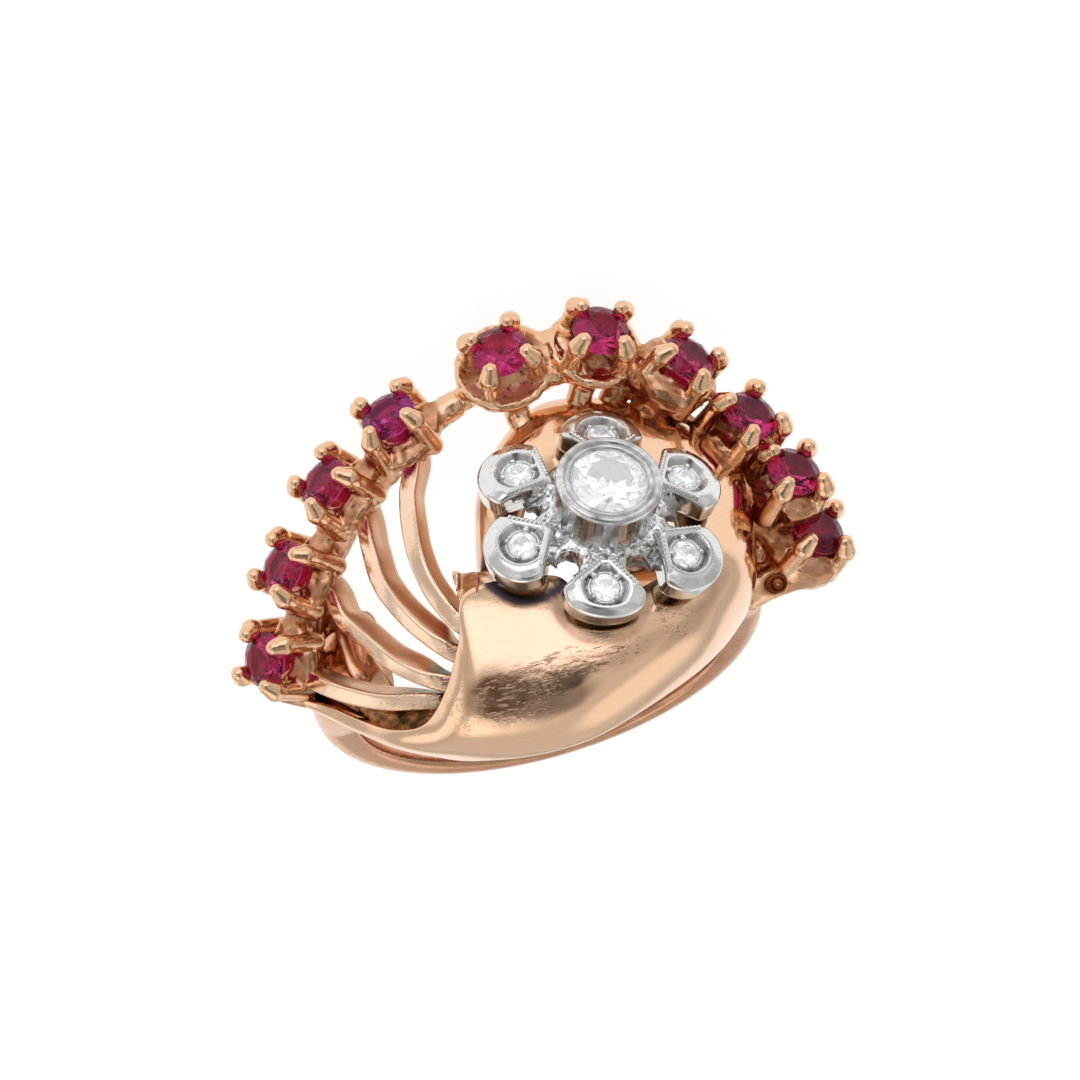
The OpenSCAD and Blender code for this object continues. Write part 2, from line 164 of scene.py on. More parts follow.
def along(rows: Array, s: Array) -> Array:
    """Catmull-Rom curve through rows of points.

    Args:
        rows: The points, one row each.
        s: Places along the curve, where 1.5 is half-way from row 1 to row 2.

    Returns:
        One point for each place.
    """
    last = len(rows) - 1
    i = np.clip(np.floor(s).astype(int), 0, last - 1)
    t = (s - i)[..., None]
    a, b, c, d = (rows[np.clip(i + k, 0, last)] for k in (-1, 0, 1, 2))
    bend, twist = 2 * a - 5 * b + 4 * c - d, 3 * b - a - 3 * c + d
    return 0.5 * (2 * b + (c - a) * t + bend * t**2 + twist * t**3)


@dataclass(frozen=True)
class Seat:
    """Where a stone or the flower sits in the worn frame, how far it leans, which way, and its spin."""

    at: Spot
    lean: float
    to: float
    spin: float

    def frame(self) -> Array:
        """Matrix whose columns are the seat's own axes, with z out of the stone's table."""
        return rotation(2, self.to) @ rotation(1, self.lean) @ rotation(2, self.spin)

    def placed(self, points: Array) -> Array:
        """Points of the seat's own frame, in the worn frame."""
        return np.array(self.at) + points @ self.frame().T

    def local(self, points: Array) -> Array:
        """Worn-frame points, in the seat's own frame."""
        return (points - np.array(self.at)) @ self.frame()

    def below(self, depth: float) -> Array:
        """The point on the seat's axis that lies depth under the girdle."""
        return self.placed(np.array([0, 0, -depth]))


# Sizes that the solids share

FINGER_R = 8.5
RUBY_D = 2.5
FLOWER = Seat((4.2, -0.5, 13.0), 17, 35, -46)
PETAL_REACH = 4.1
PETAL_DROOP = 14
PETAL_SWINGS = (0, 0, 4, 0, 0, 0)
PETAL_DIAMOND_D = 1.25
DIAMOND_D = 3.7
CENTRE_GIRDLE = 1.95
RUBY_SEATS = [
    Seat((-11.7, -1.3, 7.6), 46, 195, 80),
    Seat((-10.0, 2.0, 9.4), 38, 172, 2),
    Seat((-7.4, 4.8, 11.0), 34, 158, 1),
    Seat((-4.0, 6.6, 12.4), 22, 135, 7),
    Seat((1.4, 8.0, 13.3), 5, 90, 62),
    Seat((5.9, 8.1, 12.9), 19, 15, 21),
    Seat((9.4, 6.6, 11.2), 38, 12, 81),
    Seat((11.5, 4.1, 9.4), 32, 10, 59),
    Seat((12.8, 1.6, 8.1), 28, 15, 38),
    Seat((13.3, -0.2, 5.5), 33, 5, 40),
]
WIRE_ROUTES = [
    [[-3.6, -6.2, 9.2], [-5.2, -5.6, 9], [-7, -5, 8.5], [-8.5, -4, 7.9], [-9.8, -2.7, 7.2],
     [-10.5, -1.6, 6.7]],
    [[-3, -5.8, 9.9], [-4.2, -5.4, 10], [-5.2, -4.9, 10], [-6.3, -3.9, 9.9], [-7.2, -2.5, 9.6],
     [-8, -1.1, 9.3], [-8.3, 0.3, 8.9], [-8.6, 1.3, 8.3]],
    [[-2.6, -4.8, 10.5], [-3.4, -4.5, 10.7], [-4.2, -3.9, 10.9], [-5, -2.9, 11], [-5.7, -1.6, 11],
     [-6.1, -0.3, 10.9], [-6.2, 1.3, 10.7], [-6.2, 2.8, 10.3], [-6.3, 3.9, 9.8]],
    [[-2, -4.3, 11.4], [-2.9, -3.6, 11.6], [-3.6, -2.5, 11.8], [-4, -1.4, 11.9], [-4.2, -0.1, 12],
     [-4.2, 1.2, 12], [-4, 2.9, 11.9], [-3.5, 4.6, 11.5], [-3.5, 5.8, 11]],
]
OPENING_R = 3.4
OPENING_DEPTH = 1.45
OPENING_ANGLES = (228, 252, 272, 290, 308, 326, 345, 368, 392, 415, 435, 455, 475, 497, 520, 543, 563)


def flower_edge(degrees: float) -> Array:
    """Point of the scroll's opening, on which the petals sit, at one angle round the flower."""
    a = radians(degrees)
    return FLOWER.placed(np.array([OPENING_R * cos(a), OPENING_R * sin(a), -OPENING_DEPTH]))


SCROLL_FEET = np.array([
    [-10.6, -2.3, 4.9], [-9.4, -3.5, 5.3], [-8, -5.1, 6.1], [-6.7, -6.5, 6.8], [-5.3, -7.6, 7.5],
    [-4.2, -8.3, 8], [-3, -8.8, 8.5], [-1.6, -9.1, 8.7], [-0.1, -9.2, 8.8], [1.7, -9, 8.8], [3.6, -8.3, 8.6],
    [5.4, -7.3, 8], [7.2, -6, 7.1], [8.7, -4.3, 5.9], [9.8, -2.4, 4.9], [10.2, 0, 4.6], [10.3, 2.3, 5],
    [8.8, 4.4, 6.4], [7, 6, 7.6], [4.8, 6.8, 8.5], [2.5, 6.7, 9], [0.6, 5.3, 9.3], [-0.9, 3.1, 9.4],
    [-1.5, 0.6, 9.5], [-1.7, -1.4, 9.6],
])
SCROLL_CORNERS = np.array([
    [-10.9, -2.9, 5.4], [-9.9, -4.2, 6.1], [-8.4, -5.9, 7], [-7, -7.4, 8.2], [-5.5, -8.6, 9.6],
    [-4.3, -9.2, 11.4], [-3.1, -9.5, 12.6], [-1.7, -9.7, 13.2], [-0.1, -9.7, 13.4], [1.6, -9.5, 13.4],
    [3.6, -8.9, 13.3], [5.7, -8, 12.9], [7.8, -6.7, 12.1], [9.4, -5, 11.3], [11.1, -2.8, 10.6],
    [11.7, -0.2, 10], [11.9, 2.9, 9.9], [10.1, 5.4, 10.3], [7.2, 6.7, 10.7], [4.8, 7.3, 11], [2.4, 7.1, 11.8],
    [0.4, 5.6, 12.2], [-1.2, 3.2, 12.6], [-1.9, 0.6, 12.9], [-2.2, -1.3, 13.1],
])
SCROLL_EDGES = np.array([
    [-10.6, -2.8, 5.9], [-9.5, -3.7, 6.6], [-8.1, -5.2, 7.5], [-6.8, -6.5, 8.7], [-5.4, -7.1, 10],
    [-4.2, -6.4, 11.5], [-3.2, -4.9, 12.6], [-2.3, -2.8, 13.1],
    *(flower_edge(a) for a in OPENING_ANGLES),
])
SCROLL_WALL = 0.85
SCROLL_FULLNESS = 0.64


def scroll_point(s: Array, t: Array) -> Array:
    """The scroll's outer face: a cubic Bezier across it, whose handles lean on the row's corner.

    Args:
        s: Rows along the scroll, from its tail to its curled end.
        t: Share of the way from its foot to its edge.

    Returns:
        One worn-frame point for each pair.
    """
    foot, corner, edge = (along(rows, s) for rows in (SCROLL_FEET, SCROLL_CORNERS, SCROLL_EDGES))
    a, b = foot + SCROLL_FULLNESS * (corner - foot), edge + SCROLL_FULLNESS * (corner - edge)
    t = t[..., None]
    r = 1 - t
    return r**3 * foot + 3 * r**2 * t * a + 3 * r * t**2 * b + t**3 * edge


def scroll_normal(s: Array, t: Array) -> Array:
    """Outward normal of the scroll's outer face: the cross product of its two slopes."""
    last = len(SCROLL_FEET) - 1
    ds, dt = 0.02, 0.01
    down_row = scroll_point(np.minimum(s + ds, last), t) - scroll_point(np.maximum(s - ds, 0), t)
    across = scroll_point(s, np.minimum(t + dt, 1)) - scroll_point(s, np.maximum(t - dt, 0))
    return unit(np.cross(down_row, across))


def scroll_inner(s: float, t: float) -> Array:
    """One point of the scroll's inner face."""
    s_, t_ = np.array(s), np.array(t)
    return scroll_point(s_, t_) - SCROLL_WALL * scroll_normal(s_, t_)


# Meshes


def make_piece(
    name: str,
    points: Array,
    faces: Sequence[Array],
    smooth: bool = True,
    marks: dict[str, Array] | None = None,
) -> Piece:
    """Makes one closed mesh of worn-frame points, laid down, with its faces outwards.

    Args:
        name: The piece's name.
        points: Worn-frame points, in millimetres.
        faces: Arrays of corner numbers, each with its own count of corners.
        smooth: Whether it is shaded smooth.
        marks: Values for each point that its material reads, by name.

    Returns:
        The object, at the origin.
    """
    laid = laid_down(points)
    volume = 0.0
    for block in faces:
        a = laid[block[:, 0]]
        for k in range(1, block.shape[1] - 1):
            volume += float(np.einsum("ij,ij->", a, np.cross(laid[block[:, k]], laid[block[:, k + 1]])))
    mesh = bpy.data.meshes.new(name)
    outward = [block[:, ::-1] if volume < 0 else block for block in faces]
    mesh.from_pydata(laid, [], [face for block in outward for face in block.tolist()])
    mesh.polygons.foreach_set("use_smooth", np.full(len(mesh.polygons), smooth))
    for mark, values in (marks or {}).items():
        layer = mesh.attributes.new(mark, "FLOAT", "POINT")
        layer.data.foreach_set("value", values.astype(np.float32).ravel())
    mesh.update()
    piece = bpy.data.objects.new(name, mesh)
    bpy.context.scene.collection.objects.link(piece)
    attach(piece, BODY)
    LOG.info("%s: %d faces, %.1f mm3", name, len(mesh.polygons), abs(volume) / 6 / MM**3)
    return piece


def lofted(rings: Array, closed: bool = False) -> tuple[Array, list[Array]]:
    """Skin through rings of points, each of them a closed loop.

    Args:
        rings: Points in an array of rings by points by 3.
        closed: Whether the last ring joins the first. Else both ends get a fan round their middle.

    Returns:
        The points, and the faces as quads and, at the ends, triangles.
    """
    count, sides = rings.shape[:2]
    i = np.arange(count if closed else count - 1)[:, None]
    k = np.arange(sides)[None, :]
    ahead, beside = (i + 1) % count, (k + 1) % sides
    here, there = i * sides, ahead * sides
    corners = np.broadcast_arrays(here + k, here + beside, there + beside, there + k)
    quads = np.stack(corners, -1).reshape(-1, 4)
    points = rings.reshape(-1, 3)
    if closed:
        return points, [quads]
    k, beside = np.arange(sides), (np.arange(sides) + 1) % sides
    first = np.full(sides, len(points))
    base = (count - 1) * sides
    fans = [np.stack([beside, k, first], -1), np.stack([base + k, base + beside, first + 1], -1)]
    return np.vstack([points, rings[0].mean(0), rings[-1].mean(0)]), [quads, *fans]


def with_ends(marks: Array) -> Array:
    """Marks for each point of a skin's rings, and none for the middles of its two ends."""
    return np.append(marks.ravel(), [0, 0])


def squared(values: Array, power: float) -> Array:
    """Values from -1 to 1 pushed out towards their ends, which squares a round section off."""
    return np.sign(values) * np.abs(values) ** power


def blend(a: Array, b: Array, soft: float) -> Array:
    """Smooth minimum of two signed distances, with a fillet soft wide between their shapes."""
    share = np.clip(0.5 + 0.5 * (a - b) / soft, 0, 1)
    return a * (1 - share) + b * share - soft * share * (1 - share)


def round_cone(points: Array, a: Array, b: Array, ra: float, rb: float) -> Array:
    """Signed distance to a rod with round ends: how far off its line, less a radius that changes evenly."""
    axis = b - a
    t = np.clip((points - a) @ axis / (axis @ axis), 0, 1)
    return np.linalg.norm(points - a - t[..., None] * axis, axis=-1) - (ra + (rb - ra) * t)


def boxed(points: Array, half: Sequence[float], edge: float) -> Array:
    """Signed distance to a block with rounded edges, in the block's own frame."""
    gap = np.abs(points) - (np.array(half) - edge)
    return np.linalg.norm(np.maximum(gap, 0), axis=-1) + np.minimum(gap.max(-1), 0) - edge


def turned(points: Array, profile: Array) -> Array:
    """Signed distance to a turned solid: the distance to its half section, negative inside it.

    Args:
        points: Points in the solid's own frame, with z its axis.
        profile: Corners of the half section, as radius and height.

    Returns:
        One distance for each point.
    """
    place = np.stack([np.hypot(points[..., 0], points[..., 1]), points[..., 2]], -1)
    best = np.full(place.shape[:-1], 1e9, np.float32)
    inside = np.zeros(place.shape[:-1], bool)
    for a, b in zip(profile, np.roll(profile, -1, 0)):
        edge, gap = b - a, place - a
        t = np.clip((gap @ edge) / (edge @ edge), 0, 1)
        if not a[0] == b[0] == 0:
            best = np.minimum(best, np.linalg.norm(gap - t[..., None] * edge, axis=-1))
        if a[1] != b[1]:
            crosses = (place[..., 1] >= min(a[1], b[1])) & (place[..., 1] < max(a[1], b[1]))
            inside ^= crosses & (place[..., 0] < a[0] + (place[..., 1] - a[1]) * edge[0] / edge[1])
    return np.where(inside, -best, best)


@dataclass
class Casting:
    """Cast metal as signed distances on a grid, which are blended piece by piece and then skinned."""

    low: Spot
    high: Spot
    step: float
    depths: Array = field(init=False, repr=False)
    axes: list[Array] = field(init=False, repr=False)

    def __post_init__(self) -> None:
        """Lays out the grid, with nothing in it yet."""
        self.axes = [np.arange(a, b, self.step, dtype=np.float32) for a, b in zip(self.low, self.high)]
        self.depths = np.full([len(axis) for axis in self.axes], 5.0, np.float32)

    def add(
        self,
        centre: Array,
        reach: float,
        distance: Field,
        soft: float = 0.1,
        cut: bool = False,
    ) -> None:
        """Blends one shape in with a fillet: a smooth minimum, or a smooth maximum of its negative.

        Args:
            centre: The middle of the cube of grid that the shape reaches.
            reach: Half the cube's side.
            distance: Gives signed distances for points.
            soft: How wide the fillet is.
            cut: Whether the shape is taken away instead.
        """
        spans = [
            slice(int(np.searchsorted(axis, c - reach)), int(np.searchsorted(axis, c + reach)))
            for axis, c in zip(self.axes, centre)
        ]
        grid = np.stack(np.meshgrid(*(axis[span] for axis, span in zip(self.axes, spans)), indexing="ij"), -1)
        if grid.size == 0:
            return
        sign = -1.0 if cut else 1.0
        self.depths[tuple(spans)] = sign * blend(sign * self.depths[tuple(spans)], distance(grid), soft)

    def rod(self, start: Sequence[float], end: Sequence[float], ra: float, rb: float, soft: float) -> None:
        """Blends in a rod with round ends between two points, from one radius to another."""
        a, b = np.array(start), np.array(end)
        reach = float(np.abs(b - a).max()) / 2 + max(ra, rb) + soft + 3 * self.step
        self.add((a + b) / 2, reach, lambda p: round_cone(p, a, b, ra, rb), soft)

    def bore(
        self, centre: Array, reach: float, ends: tuple[Array, Array], radii: tuple[float, float], soft: float
    ) -> None:
        """Takes a rod with round ends away, inside a cube of grid round a centre."""
        self.add(centre, reach, lambda p: round_cone(p, *ends, *radii), soft, cut=True)

    def roughen(self, size: float, depth: float, seed: int) -> None:
        """Moves the skin in and out by smooth lumps of one size, as cast metal has."""
        shell = np.argwhere(np.abs(self.depths) < 4 * self.step)
        places = np.stack([axis[shell[:, k]] for k, axis in enumerate(self.axes)], -1)
        self.depths[tuple(shell.T)] += depth * ripple(places, size, seed)

    def skin(self) -> tuple[Array, list[Array]]:
        """Net over the surface: a point in each cell that it passes, at the mean of its crossings with the
        cell's edges, and a quad round each grid edge that it crosses.

        Returns:
            The points and the quads.
        """
        value, inside = self.depths, self.depths < 0
        size = np.array(value.shape)
        corner = [np.array([n >> 2 & 1, n >> 1 & 1, n & 1]) for n in range(8)]

        def at(c: Array) -> Array:
            """Whether corner c of each cell is inside the metal."""
            return inside[tuple(slice(o, n - 1 + o) for o, n in zip(c, size))]

        count = sum(at(c).astype(np.int8) for c in corner)
        cells = np.argwhere((count > 0) & (count < 8))
        number = np.full(size - 1, -1, np.int64)
        number[tuple(cells.T)] = np.arange(len(cells))
        total, crossings = np.zeros((len(cells), 3)), np.zeros(len(cells))
        ways = np.eye(3, dtype=int)
        for axis, step in enumerate(ways):
            for c in (c for c in corner if not c[axis]):
                a, b = value[tuple((cells + c).T)], value[tuple((cells + c + step).T)]
                hit = (a < 0) != (b < 0)
                share = np.where(hit, a / np.where(hit, a - b, 1), 0)
                total += hit[:, None] * (c + share[:, None] * step)
                crossings += hit
        points = np.array(self.low) + self.step * (cells + total / crossings[:, None])
        quads = []
        for axis, step in enumerate(ways):
            b, c = ways[(axis + 1) % 3], ways[(axis + 2) % 3]
            first = inside[tuple(slice(0, n - d) for n, d in zip(size, step))]
            second = inside[tuple(slice(d, n) for n, d in zip(size, step))]
            edge = np.argwhere(first != second)
            edge = edge[(edge[:, (axis + 1) % 3] > 0) & (edge[:, (axis + 2) % 3] > 0)]
            edge = edge[(edge < size - 1).all(1)]
            quad = np.stack([number[tuple((edge - o).T)] for o in (b + c, c, 0 * b, b)], -1)
            quads.append(np.where(first[tuple(edge.T)][:, None], quad, quad[:, ::-1]))
        return points, [np.vstack(quads)]


# Finishes


def linear(colour: str) -> tuple[float, float, float, float]:
    """An sRGB hex colour as linear red, green, blue and alpha."""
    parts = [int(colour[i : i + 2], 16) / 255 for i in (1, 3, 5)]
    r, g, b = (c / 12.92 if c <= 0.04045 else ((c + 0.055) / 1.055) ** 2.4 for c in parts)
    return r, g, b, 1.0


def add(
    tree: Tree, kind: str, inputs: dict[Any, Any] | None = None, **settings: Any
) -> bpy.types.Node:
    """Adds one node.

    Args:
        tree: The tree that gets it.
        kind: Blender's name for its type.
        inputs: Values or other nodes' outputs, by the socket's name or number.
        **settings: The node's own settings.

    Returns:
        The node.
    """
    node = tree.nodes.new(kind)
    for key, value in settings.items():
        setattr(node, key, value)
    for key, value in (inputs or {}).items():
        if isinstance(value, Socket):
            tree.links.new(value, node.inputs[key])
        else:
            node.inputs[key].default_value = value
    return node


def emptied(owner: bpy.types.Material | bpy.types.World) -> Tree:
    """The node tree of a material or a world, with nothing in it."""
    owner.use_nodes = True
    owner.node_tree.nodes.clear()
    return owner.node_tree


def computed(tree: Tree, operation: str, *values: Any, clamp: bool = False) -> Socket:
    """Output of a Math node that works on the values in their order."""
    node = add(tree, "ShaderNodeMath", dict(enumerate(values)), operation=operation, use_clamp=clamp)
    return node.outputs[0]


def mixed(tree: Tree, share: Any, a: Any, b: Any, kind: str = "RGBA") -> Socket:
    """Output of a Mix node that goes from a to b as the share rises."""
    node = add(tree, "ShaderNodeMix", {"Factor": share, "A": a, "B": b}, data_type=kind)
    return node.outputs["Result"]


def spread(
    tree: Tree, value: Any, source: tuple[float, float],
    target: tuple[float, float] = (0.0, 1.0), kind: str = "LINEAR",
) -> Socket:
    """Output of a Map Range node that takes the source's two ends to the target's."""
    ends = {"From Min": source[0], "From Max": source[1], "To Min": target[0], "To Max": target[1]}
    return add(tree, "ShaderNodeMapRange", {"Value": value, **ends}, interpolation_type=kind).outputs[0]


def noise(tree: Tree, place: Socket, size: float, detail: float, **more: float) -> Socket:
    """Output of a Noise node with lumps of size millimetres, on coordinates in metres."""
    inputs = {"Vector": place, "Scale": 1 / (size * MM), "Detail": detail, **more}
    return add(tree, "ShaderNodeTexNoise", inputs).outputs["Fac"]


# Sizes of the metals' patterns in millimetres, and depths of their marks in shares of the grain's.
CLOUD_MM = 1.6
DENT_MM = 0.45
PORE_MM = 0.28
STROKE_MM = 0.14
STROKE_STRETCH = (0.16, 1.0, 1.0)
STROKE_TURNS = ((0.4, 1.1, 0.3), (1.3, 0.2, 1.9), (0.2, 2.0, 1.0))
GRAIN_TURN = (0.5, 0.2, 0.7)
DENT_DEPTH = 12.0
STROKE_DEPTH = -2.0
PORE_DEPTH = -1.5
MATTE_ROUGHNESS = 0.45


@dataclass(frozen=True)
class Metal:
    """A solid metal, with a clean colour, a soiled one that also serves as painted shade, and the marks that
    its making left.

    Marks on a piece's points bring in the rest: the soil mark the soiled colour, which is real soil on some
    pieces and painted shade on others, "worn" scratches and dents, "tarnish" the tarnished colour, and
    "matte" a dull skin with pits.
    """

    name: str
    clean: str
    shade: str
    soil_and_shade: str
    tarnish: str
    roughness: float
    soiled_and_shaded_roughness: float
    grain_mm: float
    grain_depth_mm: float

    def material(self) -> bpy.types.Material:
        """The finish as a material: metal whose colour, gloss and bump change with noise and the marks."""
        material = bpy.data.materials.new(self.name)
        tree = emptied(material)
        place = add(tree, "ShaderNodeTexCoord").outputs["Object"]
        soil_and_shade, worn, tarnish, matte = (
            add(tree, "ShaderNodeAttribute", attribute_name=mark).outputs["Fac"]
            for mark in ("soil_and_shade", "worn", "tarnish", "matte")
        )
        cloud = noise(tree, place, CLOUD_MM, 4.0)
        turned_place = add(tree, "ShaderNodeMapping", {"Vector": place, "Rotation": GRAIN_TURN}).outputs[0]
        fine = noise(tree, turned_place, self.grain_mm, 3.0, Roughness=0.6)
        line: Any = 0.0
        for turn in STROKE_TURNS:
            way = add(tree, "ShaderNodeMapping", {"Vector": place, "Rotation": turn, "Scale": STROKE_STRETCH})
            lumps = noise(tree, way.outputs[0], STROKE_MM, 2.0, Distortion=0.3)
            line = computed(tree, "MAXIMUM", line, spread(tree, lumps, (0.61, 0.67)))
        stroke = computed(tree, "MULTIPLY", line, worn, clamp=True)
        dent = computed(tree, "MULTIPLY", noise(tree, place, DENT_MM, 3.0), worn)
        pores = spread(tree, noise(tree, place, PORE_MM, 3.0, Roughness=0.6), (0.56, 0.66))
        pore = computed(tree, "MULTIPLY", pores, matte)
        patchy = spread(tree, cloud, (0.3, 0.7), (-0.25, 0.25))
        # Where the soil mark is, the soiled colour comes in: real soil on some pieces, painted shade on
        # others.
        dirt_and_shade = computed(tree, "ADD", soil_and_shade, patchy, clamp=True)
        dirt_and_shade = computed(tree, "MULTIPLY", dirt_and_shade, soil_and_shade, clamp=True)
        tarnished = computed(tree, "MULTIPLY_ADD", tarnish, patchy, tarnish, clamp=True)

        clean, soiled_and_shaded = linear(self.clean), linear(self.soil_and_shade)
        colour = mixed(tree, dirt_and_shade, mixed(tree, cloud, clean, linear(self.shade)), soiled_and_shaded)
        colour = mixed(tree, stroke, colour, mixed(tree, dirt_and_shade, soiled_and_shaded, clean))
        colour = mixed(tree, tarnished, colour, linear(self.tarnish))
        colour = mixed(tree, pore, colour, soiled_and_shaded)
        gloss = spread(tree, fine, (0.3, 0.7), (self.roughness * 0.7, self.roughness * 1.4))
        gloss = mixed(tree, dirt_and_shade, gloss, self.soiled_and_shaded_roughness, "FLOAT")
        gloss = mixed(tree, matte, gloss, MATTE_ROUGHNESS, "FLOAT")
        height = fine
        for mark, depth in ((dent, DENT_DEPTH), (stroke, STROKE_DEPTH), (pore, PORE_DEPTH)):
            height = computed(tree, "MULTIPLY_ADD", mark, depth, height)
        bump = add(tree, "ShaderNodeBump", {"Height": height, "Distance": self.grain_depth_mm * MM})
        shader = add(
            tree, "ShaderNodeBsdfPrincipled",
            {"Base Color": colour, "Roughness": gloss, "Metallic": 1.0, "Normal": bump.outputs[0]},
        )
        add(tree, "ShaderNodeOutputMaterial", {"Surface": shader.outputs[0]})
        return material


@dataclass(frozen=True)
class Gem:
    """A cut and polished stone: clear or coloured, with a little silk in it.

    A share of light is returned evenly: it stands for the many inner reflections past the renderer's limit.
    """

    name: str
    body: str
    deep: str
    ior: float
    clearness: float
    mirrored: str = "#FFFFFF"
    cloud_mm: float = 0.7
    returned: float = 0.0

    def material(self) -> bpy.types.Material:
        """The stone as a material: glass of its own index, whose colour changes in clouds."""
        material = bpy.data.materials.new(self.name)
        tree = emptied(material)
        place = add(tree, "ShaderNodeTexCoord").outputs["Object"]
        share = spread(tree, noise(tree, place, self.cloud_mm, 3.0), (0.35, 0.65))
        tone = mixed(tree, share, linear(self.body), linear(self.deep))
        shader = add(
            tree, "ShaderNodeBsdfPrincipled",
            {"Base Color": tone, "Roughness": 0.02, "IOR": self.ior, "Transmission Weight": self.clearness,
             "Specular Tint": linear(self.mirrored), "Emission Color": linear(self.body),
             "Emission Strength": self.returned},
        )
        add(tree, "ShaderNodeOutputMaterial", {"Surface": shader.outputs[0]})
        return material


# Red gold, hammered up and polished: a warm mirror, with faint waves and scratches. Its soiled colour is
# painted shade in the scroll's hollow and round the petals, and a painted dark reflection on its front.
POLISHED_GOLD = Metal(
    "rose_gold_polished", "#F4CDAD", "#EFC4A0", "#6A3F28", "#4A4250", 0.10, 0.38, 0.5, 0.004
)
# Red gold of the band: the same mirror, a little duller, with its colour browned and darkened as painted
# shade.
SHADED_GOLD = Metal("rose_gold_shaded", "#E2B08E", "#D6A27F", "#6A3F28", "#4A4250", 0.16, 0.38, 0.5, 0.004)
# Red gold, drawn and filed flat: a cream face with a fine grain, browner on the flanks.
FILED_GOLD = Metal("rose_gold_filed", "#F8DAC0", "#F0CAAA", "#D6AA8A", "#4E421A", 0.15, 0.34, 0.25, 0.010)
# Red gold, cast and barely cleaned: lumpy and pitted. Its soiled colour is real grease in its hollows and
# painted shade there and under the cups.
CAST_GOLD = Metal("rose_gold_cast", "#F4CDAA", "#E8B68C", "#A2643E", "#40341A", 0.13, 0.30, 0.3, 0.012)
# Platinum, sawn, polished and grained: a cool mirror with a faint grain.
WHITE_METAL = Metal("platinum_polished", "#F0F0EE", "#D6D6D4", "#4B4742", "#2A2826", 0.09, 0.4, 0.35, 0.005)
# Rubies, mixed cut by hand: purplish red glass with silk in it.
RUBY = Gem("ruby_cut", "#E23A7C", "#941850", 1.765, 0.95, "#D088A4")
RUBY_PURPLE = Gem("ruby_violet_cut", "#D03A92", "#921C66", 1.765, 0.95, "#C47CB8")
# Diamond, brilliant and eight cut: bright glass of high index.
DIAMOND = Gem("diamond_cut", "#FFFFFF", "#E9F0F8", 2.417, 0.98, cloud_mm=0.3, returned=0.085)


def petal_turn(number: int) -> Array:
    """Matrix that turns a petal from the flower's x axis to its own place."""
    return rotation(2, 30 + 60 * number + PETAL_SWINGS[number])


def petal_placed(points: Array, number: int) -> Array:
    """Points of one petal's own frame, with its diamond's girdle at the origin, in the worn frame."""
    leaned = points @ rotation(1, PETAL_DROOP).T + np.array([PETAL_REACH, 0, 0])
    return FLOWER.placed(leaned @ petal_turn(number).T)


def petal_local(points: Array, number: int) -> Array:
    """Worn-frame points, in one petal's own frame."""
    flat = FLOWER.local(points) @ petal_turn(number)
    return (flat - np.array([PETAL_REACH, 0, 0])) @ rotation(1, PETAL_DROOP)


class Slot(Enum):
    """The record's material slots."""

    GOLD = "rose_gold"
    WHITE = "white_metal"
    DIAMOND = "diamond"
    RUBY = "ruby"


# The ring's pieces


@dataclass
class Hoop:
    """Half-round band, wider and thicker towards its shoulders."""

    bottom_t: float = 1.2
    side_t: float = 1.85
    bottom_w: float = 3.0
    side_w: float = 3.3
    front: float = 2.9
    back: float = 1.2
    shoulder_z: float = 5.5
    turn: float = 3.5
    ends: tuple[float, float] = (40.0, 68.0)
    slant: tuple[tuple[float, ...], tuple[float, ...]] = ((0, 4.2, 5.7, 14), (9, 0.5, -1.4, -1.4))
    flat_share: float = 0.42
    side_power: float = 0.55
    crown_power: float = 0.9
    inner_power: float = 0.35
    steps: int = 161
    sides: int = 40

    def build(self) -> Piece:
        """Carries a half-round section, flat inside and crowned outside, round the finger.

        Returns:
            The band, which stands for the hoop.
        """
        angle = np.radians(np.linspace(180 - self.ends[0], 360 + self.ends[1], self.steps))
        low, side = FINGER_R + self.bottom_t, FINGER_R + self.side_t
        radius = (low + side * side / low) / 2
        offset = radius - low
        outer = offset * np.sin(angle) + np.sqrt(radius**2 - (offset * np.cos(angle)) ** 2)
        z = FINGER_R * np.sin(angle)
        heights, narrow, wide = [-14, 0, self.shoulder_z], self.bottom_w / 2, self.side_w / 2
        front = -np.interp(z, heights, [narrow, wide, self.front])
        back = np.interp(z, heights, [narrow, wide, self.back])
        slant = np.interp(z, *self.slant)
        back = np.where(np.cos(angle) > 0, np.minimum(back, slant), back)
        turn = np.linspace(0, 2 * pi, self.sides, endpoint=False)
        across, rise = squared(np.cos(turn), self.side_power), np.sin(turn)
        high = np.where(rise > 0, squared(rise, self.crown_power), squared(rise, self.inner_power))
        middle, half = (front + back) / 2, (back - front) / 2
        y = middle[:, None] + half[:, None] * across
        thick = (outer - FINGER_R)[:, None]
        edge = self.flat_share * thick
        r = FINGER_R + np.where(high > 0, edge + (thick - edge) * high, edge + edge * high)
        rings = np.stack([r * np.cos(angle)[:, None], y, r * np.sin(angle)[:, None]], -1)
        points, faces = lofted(rings @ rotation(2, self.turn).T)
        # Painted shade: darker inside the band, round the finger, and on its lower part under the head.
        inside = 0.25 * eased(9.2, 8.6, np.hypot(points[:, 0], points[:, 2]))
        under = 0.45 * eased(-8.0, -4.0, points[:, 0]) * faded(2.0, 5.0, points[:, 2])
        marks = {"soil_and_shade": np.maximum(inside, under), "worn": np.full(len(points), 0.15)}
        piece = make_piece("hoop_band", points, faces, marks=marks)
        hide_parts("hoop")
        return piece


